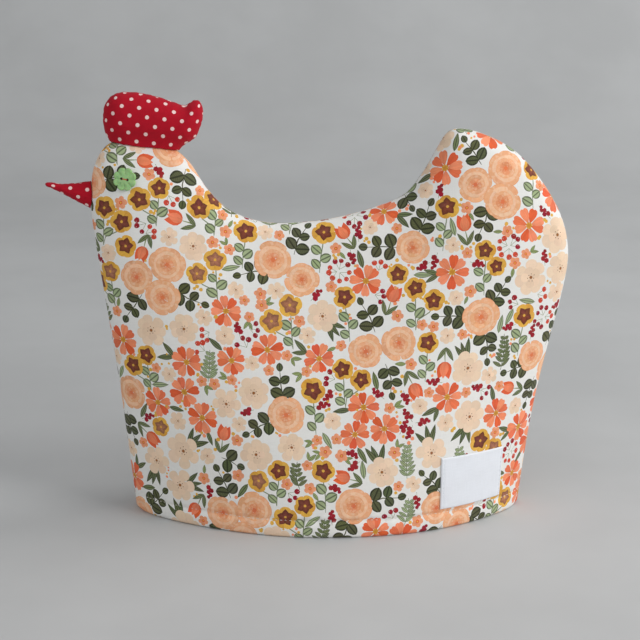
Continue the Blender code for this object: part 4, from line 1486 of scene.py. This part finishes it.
# ---- stuffed comb and beak -----------------------------------------------------------------------
COMB_EDGE = [
    (-135.2, 240.2), (-138.2, 247.6), (-138.7, 256.4), (-136.9, 264.4), (-131.4, 269.6), (-122.0, 270.9),
    (-106.5, 268.3), (-93.4, 263.9), (-87.9, 262.4), (-84.8, 264.5), (-81.8, 266.6), (-78.4, 264.4),
    (-76.9, 257.4), (-78.7, 249.4), (-82.6, 241.9), (-88.6, 238.4), (-92.3, 234.4),
]
BEAK_EDGE = [
    (-146.5, 216.2), (-155.0, 214.9), (-166.0, 214.2), (-173.2, 215.3), (-176.2, 214.6), (-176.2, 212.9),
    (-173.2, 211.8), (-165.6, 207.9), (-157.4, 203.4), (-148.3, 198.2),
]
SEAM_PRESSED, SEAM_PRESSED_WIDTH = 0.3, 0.9     # mm, seam round the free edge
EVEN_ROUNDS = 40                # rounds that even out the flat cloth where the edge turns sharply
BACK_DOTS = (3.3, 2.1)          # mm, moves the pattern on a piece's back

# millimetres, but voxel in metres and softening in rounds; dots_at moves the pattern over the cloth
Stuffed = namedtuple("Stuffed", "name node paint edge half_thick edge_roll seam pucker dots_at voxel "
                                "softening")
STUFFED = (
    Stuffed("comb_cloth", "comb", "dotted_comb", COMB_EDGE, half_thick=11.5, edge_roll=14.0, seam=0.8,
            pucker=0.12, dots_at=(1.0, 2.4), voxel=0.75 * MM, softening=5),
    Stuffed("beak_cloth", "beak", "dotted_beak", BEAK_EDGE, half_thick=5.6, edge_roll=7.5, seam=0.5,
            pucker=0.1, dots_at=(1.9, -1.5), voxel=0.45 * MM, softening=3),
)


def spare_cloth(dist, half_thick, edge_roll):
    """Cloth that an elliptic edge takes beyond its own flat width, at distances from the edge."""
    turn = np.linspace(0, math.pi / 2, 60)
    pace = np.hypot(edge_roll * np.sin(turn), half_thick * np.cos(turn))
    cloth = np.concatenate([[0], np.cumsum((pace[1:] + pace[:-1]) / 2 * np.diff(turn))])
    spare = cloth[-1] - cloth - edge_roll * np.cos(turn)
    return np.interp(dist, edge_roll * (1 - np.cos(turn)), spare)


def evened(values, mesh, rounds):
    """Values at a mesh's points, averaged with those of their neighbours."""
    ends = np.empty(2 * len(mesh.edges), np.int32)
    mesh.edges.foreach_get("vertices", ends)
    a, b = ends[0::2], ends[1::2]
    count = np.bincount(ends, minlength=len(values))
    for _ in range(rounds):
        total = [np.bincount(np.concatenate([a, b]), np.concatenate([column[b], column[a]]), len(values))
                 for column in values.T]
        values = np.stack(total, axis=1) / count[:, None]
    return values


def softened(piece):
    """Mesh of a piece's CAD solid, made even and soft."""
    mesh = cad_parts[piece.node].data.copy()
    mesh.materials.clear()
    rough = linked(piece.name + "_rough", mesh)
    remesh = rough.modifiers.new("even", "REMESH")
    remesh.mode, remesh.voxel_size = "VOXEL", piece.voxel
    smooth = rough.modifiers.new("soften", "SMOOTH")
    smooth.factor, smooth.iterations = 0.5, piece.softening
    fine = bpy.data.meshes.new_from_object(rough.evaluated_get(bpy.context.evaluated_depsgraph_get()))
    bpy.data.objects.remove(rough, do_unlink=True)
    fine.name = piece.name
    return fine


def stuffed_cloth(piece):
    """Finer stuffed form of a CAD solid, its cloth drawn out flat from its free edge."""
    fine = softened(piece)
    line = smooth_curve(piece.edge) / MM
    places = np.array([v.co for v in fine.vertices]) / MM
    normals = np.array([v.normal for v in fine.vertices])
    flat = places[:, [0, 2]] - [SHIFT / MM, 0]
    dist, away = beside_line(line, flat)
    along = run_along(line)[np.array([np.argmin(((line - p) ** 2).sum(1)) for p in flat])]
    ripple = uneven_wave(along, 1.15, 1.7, along * 0.37) * np.exp(-dist / 4.5)
    seam = np.exp(-(places[:, 1] / SEAM_PRESSED_WIDTH) ** 2) * np.exp(-(dist / 3) ** 2)
    places += normals * (ripple * piece.pucker - seam * SEAM_PRESSED)[:, None]
    fine.vertices.foreach_set("co", (places * MM).ravel())
    fine.update()

    spare = away * spare_cloth(dist, piece.half_thick, piece.edge_roll)[:, None]
    flat = flat - evened(spare, fine, EVEN_ROUNDS) + piece.dots_at
    flat = np.where(places[:, 1:2] < 0, flat, flat + BACK_DOTS)
    store_vectors(fine, "cloth", "POINT", np.column_stack([flat, np.abs(places[:, 1])]))
    fine.shade_smooth()
    fine.materials.append(dotted_cotton(piece.paint, piece.seam))
    obj = linked(piece.name, fine)
    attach(obj, "root")
    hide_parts(piece.node)


# ---- button --------------------------------------------------------------------------------------
BUTTON_X, BUTTON_Z = -125.0 * MM, 219.1 * MM
BUTTON_RADIUS, BUTTON_HEIGHT, BUTTON_POINTS = 7.25, 2.6, 160            # mm, mm, points round its outline
BUTTON_LOBES, BUTTON_LOBE_DEPTH, BUTTON_TURN = 8, 0.165, math.radians(18)
BUTTON_RINGS = (1.0, 0.985, 0.955, 0.91)        # rows of points from the rim inwards, shares of the outline
BUTTON_MIDDLE, BUTTON_STEP = 0.88, 0.3          # share of the outline filled with points, mm between them
# rows down its side: share of the outline, height in mm
BUTTON_SIDE = ((1.0, 1.2), (0.985, 0.5), (0.93, 0.0))
HOLE_RADIUS, HOLE_SPACING, HOLE_POINTS = 0.85, 3.7, 20                  # mm, mm, points round each
HOLE_CLEAR = 0.2                # mm between a hole and the points of the face
HOLE_SIDE = ((2.0, 0.6), (1.3, 1.0), (0.4, 1.0))        # rows down a hole: height in mm, share of shadow
HOLES_WAY = way(math.radians(-12))
PIECE_GAP = 0.3                 # mm between the cloth and the button
THREAD_REACH = HOLE_SPACING / 2 - 0.35          # mm, half the length of a strand
THREAD_APART, THREAD_RADIUS = 0.17, 0.2         # mm from the middle to each strand, mm
# points of a strand: share of its reach, height in mm
STRAND = ((-1.0, 0.9), (-0.97, 1.9), (-0.72, 2.36), (0, 2.45), (0.72, 2.36), (0.97, 1.9), (1.0, 0.9))

# place on the outer cloth, the way out of it and the ways along and up it
Seat = namedtuple("Seat", "origin normal along up")


def seat_at(x, z, side):
    """Seat on the outer cloth beside a place on the profile."""
    pts = np.array([[x, z]])
    dist, away = nearest_on_rim(pts)
    place, normal = outer_surface(pts, dist, away, np.zeros(1), side)
    normal = Vector(normal[0])
    along = Vector((1, 0, 0)) - normal * normal.x
    along.normalize()
    up = along.cross(normal)
    return Seat(Vector(place[0]), normal, along, up if up.z > 0 else -up)


def on_seat(seat, flat, height):
    """Points above a seat, from flat places and heights in mm."""
    return [seat.origin + (seat.normal * (PIECE_GAP + h) + seat.along * p[0] + seat.up * p[1]) * MM
            for p, h in zip(flat, np.broadcast_to(height, len(flat)))]


def lobe_at(angles):
    """One in the middle of each of the button's petals, nought between them."""
    return np.abs(np.cos(BUTTON_LOBES * (angles - BUTTON_TURN) / 2)) ** 0.55


def button_reach(angles):
    return BUTTON_RADIUS * (1 - BUTTON_LOBE_DEPTH * (1 - lobe_at(angles)))


def button_outline(scale):
    angles = around(BUTTON_POINTS)
    return circle(angles, button_reach(angles) * scale)


def button_height(flat):
    """Moulded face: domed petals parted by grooves, a rounded rim and a shallow dish with the holes."""
    x, y = flat.T
    angles = np.arctan2(y, x)
    lobe, share = lobe_at(angles), np.hypot(x, y) / button_reach(angles)
    rim = np.sqrt(np.clip(1 - ((share - 0.86) / 0.14).clip(0, 1) ** 2, 0, 1))
    dish = smoothstep((share - 0.42) / 0.14)
    groove = (1 - lobe ** 1.4) * smoothstep((share - 0.36) / 0.24)
    cup = smoothstep((share - 0.5) / 0.14) * smoothstep((0.9 - share) / 0.16) * lobe
    return BUTTON_HEIGHT - 0.75 * (1 - rim) - 0.12 * (1 - dish) - 0.65 * groove - 0.22 * cup


def button_face():
    """Flat points of the button's face, its triangles, and the point numbers round its rim and its holes."""
    rings = [button_outline(share) for share in BUTTON_RINGS]
    hole = circle(around(HOLE_POINTS), HOLE_RADIUS)
    holes = [hole + end * HOLE_SPACING / 2 * HOLES_WAY for end in (-1, 1)]
    field = staggered(rings[0].min(0), rings[0].max(0), BUTTON_STEP)
    field = field[inside(button_outline(BUTTON_MIDDLE), field)]
    for ring in holes:
        field = field[np.linalg.norm(field - ring.mean(0), axis=1) > HOLE_RADIUS + HOLE_CLEAR]
    pts = np.vstack(rings[:1] + holes + rings[1:] + [field])
    loops = point_numbers(rings[:1] + holes)
    faces = triangles(pts, ring_edges(loops))
    middle = pts[faces].mean(axis=1)
    solid = inside(rings[0], middle) & ~inside(holes[0], middle) & ~inside(holes[1], middle)
    return pts, faces[solid], loops


def wall(bm, upper, places):
    """Joins a ring of vertices to a new ring at the places, and returns the new ring."""
    lower = [bm.verts.new(place) for place in places]
    for k in range(len(upper)):
        bm.faces.new([upper[k - 1], lower[k - 1], lower[k], upper[k]])
    return lower


def button(name, node, side, material, thread):
    """Moulded button with two holes, and the strands that sew it on."""
    seat = seat_at(BUTTON_X, BUTTON_Z, side)
    pts, faces, (rim, *holes) = button_face()
    bm = bmesh.new()
    # share of painted shade at each point, which the button's material reads to darken the thread holes
    hollow = bm.verts.layers.float.new("hollow")
    top = [bm.verts.new(place) for place in on_seat(seat, pts, button_height(pts))]
    for face in faces:
        bm.faces.new([top[i] for i in face])
    foot = top[:len(rim)]
    for share, height in BUTTON_SIDE:
        foot = wall(bm, foot, on_seat(seat, button_outline(share), height))
    for ids in holes:
        ring = [top[i] for i in ids]
        for height, shadow in HOLE_SIDE:
            ring = wall(bm, ring, on_seat(seat, pts[ids], height))
            for vertex in ring:
                vertex[hollow] = shadow
        # blind floor of each hole, in full painted shade
        bm.faces.new(ring)
    bmesh.ops.contextual_create(bm, geom=foot)
    bmesh.ops.recalc_face_normals(bm, faces=bm.faces)
    obj = mesh_object(name, bm, material)
    obj.data.set_sharp_from_angle(angle=math.radians(50))
    settle(obj, node)
    button_thread(name + "_thread", seat, thread)


def button_thread(name, seat, material):
    """Two strands side by side from hole to hole."""
    shares, heights = zip(*STRAND)
    bm = bmesh.new()
    for offset in (-THREAD_APART, THREAD_APART):
        across = turned(HOLES_WAY, math.pi / 2) * offset
        flat = [share * THREAD_REACH * HOLES_WAY + across for share in shares]
        tube(bm, on_seat(seat, flat, heights), THREAD_RADIUS * MM, 7)
    stitch = mesh_object(name, bm, material)
    settle(stitch)


def tube(bm, path, radius, sides):
    """Round thread along a path, closed and narrower at its ends."""
    path = [Vector(p) for p in path]
    rings = []
    for k, place in enumerate(path):
        ahead = (path[min(k + 1, len(path) - 1)] - path[max(k - 1, 0)]).normalized()
        out = ahead.orthogonal().normalized()
        other = ahead.cross(out)
        reach = radius * (0.55 if k in (0, len(path) - 1) else 1.0)
        rings.append([bm.verts.new(place + (out * math.cos(a) + other * math.sin(a)) * reach)
                      for a in around(sides)])
    for low, high in zip(rings[:-1], rings[1:]):
        twists = [sum((low[k].co - high[(k + shift) % sides].co).length for k in range(sides))
                  for shift in range(sides)]
        shift = twists.index(min(twists))
        high[:] = high[shift:] + high[:shift]
        for k in range(sides):
            bm.faces.new([low[k - 1], low[k], high[k], high[k - 1]])
    bm.faces.new(rings[0])
    bm.faces.new(rings[-1][::-1])
    bmesh.ops.recalc_face_normals(bm, faces=bm.faces)


# ---- topstitching --------------------------------------------------------------------------------
STITCH_PITCH, STITCH_LENGTH, STITCH_RADIUS = 3.0, 2.35, 0.2     # mm
STITCH_ARCH = np.array([-0.28, 0.02, 0.12, 0.02, -0.28])        # mm, height along a stitch
STITCH_START = 0.6              # mm from the start of a row to its first stitch
STITCH_SUNK = 0.06              # mm that the hem's stitches are pulled into the cloth
HEM_STITCH_END = 3.0            # mm between the seam and the ends of the hem's stitching
HEM_STITCH_POINTS = 200


def stitch_row(bm, flat_path, side, lift):
    """Machine stitches along a line on the flat cloth; line and lift above the cloth are in mm."""
    starts = np.arange(STITCH_START, run_along(flat_path)[-1] - STITCH_LENGTH, STITCH_PITCH)
    at = (starts[:, None] + np.linspace(0, STITCH_LENGTH, len(STITCH_ARCH))[None]).ravel()
    place, normal = outer_surface(*profile_from_flat(points_at(flat_path, at) * MM), side)
    arch = np.tile(STITCH_ARCH + lift, len(starts))
    places = place + normal * (arch * MM)[:, None]
    for k in range(0, len(places), len(STITCH_ARCH)):
        tube(bm, places[k:k + len(STITCH_ARCH)], STITCH_RADIUS * MM, 6)


def hem_stitching(name, side, material):
    edge = rim_line(0.0)
    x = np.linspace(edge[0][0] + HEM_STITCH_END, edge[-1][0] - HEM_STITCH_END, HEM_STITCH_POINTS)
    wander = 0.25 * np.sin(x / 23) + 0.15 * np.sin(x / 7.1)
    bm = bmesh.new()
    stitch_row(bm, np.stack([x, HEM_STITCH_Z / MM + wander], axis=1), side, -STITCH_SUNK)
    obj = mesh_object(name, bm, material)
    settle(obj)


# ---- label ---------------------------------------------------------------------------------------
LABEL_X, LABEL_Z = 90.3 * MM, 30.5 * MM
LABEL_WIDTH, LABEL_HEIGHT = 47.6, 33.3          # mm
LABEL_COLUMNS, LABEL_ROWS = 60, 42
LABEL_CLEAR, LABEL_THICK = 0.35, 1.0            # mm between the panel and the label, thickness of the tape
LABEL_EDGE, LABEL_WAVE_IN = 0.7, 4.0            # mm from its edge to its full thickness and to its full waves
LABEL_STITCH_IN = 1.7           # mm from its left and right edge to the rows of stitches
LABEL_STITCH_DENT, LABEL_DENT_WIDTH = 0.22, 0.6                 # mm
LABEL_STITCH_END, LABEL_STITCH_SUNK = 0.6, 0.1  # mm from the rows' ends to the label's, and into the tape


def edge_spaced(count):
    """Shares from -0.5 to 0.5, closer together towards both ends."""
    closer = (1 - np.cos(np.linspace(0, math.pi, count))) / 2
    return closer * 0.35 + np.linspace(0, 1, count) * 0.65 - 0.5


def label_lift(spots):
    """Height of the label's face above the panel: round edge, soft waves, dents along the stitches."""
    x, z = spots.T
    inset = np.minimum(LABEL_WIDTH / 2 - abs(x), LABEL_HEIGHT / 2 - abs(z))
    wave = 0.10 * np.sin(x / 5.3 + 0.6) * np.sin(z / 6.1) + 0.08 * np.sin(z / 3.1)
    beside = (LABEL_WIDTH / 2 - LABEL_STITCH_IN - abs(x)) / LABEL_DENT_WIDTH
    lift = LABEL_CLEAR + 0.15 + (LABEL_THICK - 0.25) * roll(inset, LABEL_EDGE)
    lift += wave * smoothstep(inset / LABEL_WAVE_IN)
    return lift - LABEL_STITCH_DENT * np.exp(-beside ** 2)


def label(name, node, material, thread):
    """Bare cotton label: a soft folded tape that follows the front panel."""
    middle = flat_from_profile(np.array([[LABEL_X, LABEL_Z]]))[0] / MM
    gu, gv = np.meshgrid(edge_spaced(LABEL_COLUMNS) * LABEL_WIDTH, edge_spaced(LABEL_ROWS) * LABEL_HEIGHT,
                         indexing="ij")
    spots = np.stack([gu.ravel(), gv.ravel()], axis=1)
    place, normal = outer_surface(*profile_from_flat((spots + middle) * MM), FRONT)
    bm = bmesh.new()
    upper = [bm.verts.new(p) for p in place + normal * (label_lift(spots) * MM)[:, None]]
    under = [bm.verts.new(p) for p in place + normal * (LABEL_CLEAR * MM)]
    ids = np.arange(len(spots)).reshape(LABEL_COLUMNS, LABEL_ROWS)
    quads = np.stack([ids[:-1, :-1], ids[1:, :-1], ids[1:, 1:], ids[:-1, 1:]], axis=-1).reshape(-1, 4)
    for quad in quads:
        bm.faces.new([upper[k] for k in quad])
        bm.faces.new([under[k] for k in quad[::-1]])
    rim = np.concatenate([ids[:, 0], ids[-1, 1:], ids[-2::-1, -1], ids[0, -2:0:-1]]).tolist()
    for a, b in ring_edges([rim]):
        bm.faces.new([upper[a], under[a], under[b], upper[b]])
    bmesh.ops.recalc_face_normals(bm, faces=bm.faces)
    obj = mesh_object(name, bm, material)
    store_vectors(obj.data, "cloth", "POINT", np.vstack([spots, spots]))
    settle(obj, node)
    label_stitching(name + "_stitching", middle, thread)


def label_stitching(name, middle, material):
    """Rows of stitches beside the label's left and right edge."""
    reach = LABEL_HEIGHT / 2 - LABEL_STITCH_END
    lift = LABEL_CLEAR + LABEL_THICK - LABEL_STITCH_SUNK - LABEL_STITCH_DENT
    bm = bmesh.new()
    for end in (-1, 1):
        x = middle[0] + end * (LABEL_WIDTH / 2 - LABEL_STITCH_IN)
        path = np.array([(x, middle[1] - reach), (x + 0.15, middle[1]), (x, middle[1] + reach)])
        stitch_row(bm, path, FRONT, lift)
    rows = mesh_object(name, bm, material)
    settle(rows)


# ---- stage, light and camera ---------------------------------------------------------------------
CAMERA_TARGET = Vector((0.0067, 0.0, 0.1249))
CAMERA_DISTANCE = 1.0
CAMERA_RISE, CAMERA_TURN = math.radians(15), math.radians(2)
CAMERA_LENS, CAMERA_SENSOR = 87.9, 36.0         # mm
FLOOR_HALF_WIDTH, FLOOR_FRONT, FLOOR_MIDDLE = 3.0, -3.0, 0.3    # metres
BACKDROP_Y, BACKDROP_TOP, BACKDROP_BEND = 1.9, 2.6, 0.8         # metres
# name, place, what it is aimed at, diameter, watts, colour
LIGHTS = (
    ("window", (1.5, -0.8, 1.0), (0.0, 0.0, 0.1), 1.1, 20.0, (1.0, 0.995, 0.99)),
    ("room", (-1.0, -1.5, 0.9), (0.0, 0.0, 0.1), 1.6, 6.0, (0.98, 0.99, 1.0)),
    ("backdrop", (1.5, 0.5, 1.7), (0.0, 1.2, 0.1), 1.2, 12.0, (1.0, 1.0, 1.0)),
)
SKY_COLOUR, SKY_STRENGTH = (0.96, 0.98, 1.0, 1.0), 0.4


def aimed(obj, place, back):
    """Puts a camera or a light at a place, with its back towards a direction."""
    obj.location = place
    obj.rotation_euler = back.to_track_quat("Z", "Y").to_euler()


def camera():
    data = bpy.data.cameras.new("camera")
    data.lens, data.sensor_width = CAMERA_LENS, CAMERA_SENSOR
    level = math.cos(CAMERA_RISE)
    back = Vector((-math.sin(CAMERA_TURN) * level, -math.cos(CAMERA_TURN) * level, math.sin(CAMERA_RISE)))
    obj = linked("camera", data)
    aimed(obj, CAMERA_TARGET + back * CAMERA_DISTANCE, back)
    bpy.context.scene.camera = obj


def lights():
    for name, place, target, size, power, colour in LIGHTS:
        data = bpy.data.lights.new(name, "AREA")
        data.shape, data.size, data.energy, data.color = "DISK", size, power, colour
        aimed(linked(name, data), place, Vector(place) - Vector(target))
    world = bpy.data.worlds.new("studio")
    world.use_nodes = True
    world.node_tree.nodes["Background"].inputs["Color"].default_value = SKY_COLOUR
    world.node_tree.nodes["Background"].inputs["Strength"].default_value = SKY_STRENGTH
    bpy.context.scene.world = world
    bpy.context.scene.view_settings.view_transform = "Standard"


def stage():
    """Pale floor that curves up into a backdrop."""
    rows = [(FLOOR_FRONT, 0.0), (FLOOR_MIDDLE, 0.0)]
    rows += [(BACKDROP_Y - BACKDROP_BEND * (1 - math.sin(a)), BACKDROP_BEND * (1 - math.cos(a)))
             for a in np.linspace(0, math.pi / 2, 14)]
    rows += [(BACKDROP_Y, BACKDROP_TOP)]
    points = [(x, y, z) for y, z in rows for x in (-FLOOR_HALF_WIDTH, FLOOR_HALF_WIDTH)]
    faces = [(2 * k, 2 * k + 1, 2 * k + 3, 2 * k + 2) for k in range(len(rows) - 1)]
    mesh = bpy.data.meshes.new("floor")
    mesh.from_pydata(points, [], faces)
    mesh.shade_smooth()
    mesh.materials.append(floor_paint())
    linked("floor", mesh)


def plain(bounds):
    return [[float(v) for v in corner] for corner in bounds]


def main():
    camera()
    paints = print_paints()
    for name, node, side, seed in (("front_cloth", "front_panel", FRONT, 3),
                                   ("back_cloth", "back_panel", BACK, 8)):
        cloth, outline = panel(name, side, seed, paints)
        settle(cloth, node)
    for piece in STUFFED:
        stuffed_cloth(piece)
    plastic, thread = button_paint(), thread_paint("button_thread", THREAD_RED)
    button("eye", "eye_button", FRONT, plastic, thread)
    button("eye_back", "eye_button_back", BACK, plastic, thread)
    ivory = thread_paint("hem_thread", THREAD_IVORY)
    hem_stitching("hem_stitching_front", FRONT, ivory)
    hem_stitching("hem_stitching_back", BACK, ivory)
    label("bare_label", "label", label_paint(), thread_paint("label_thread", LABEL_WHITE))
    stage()
    lights()


main()
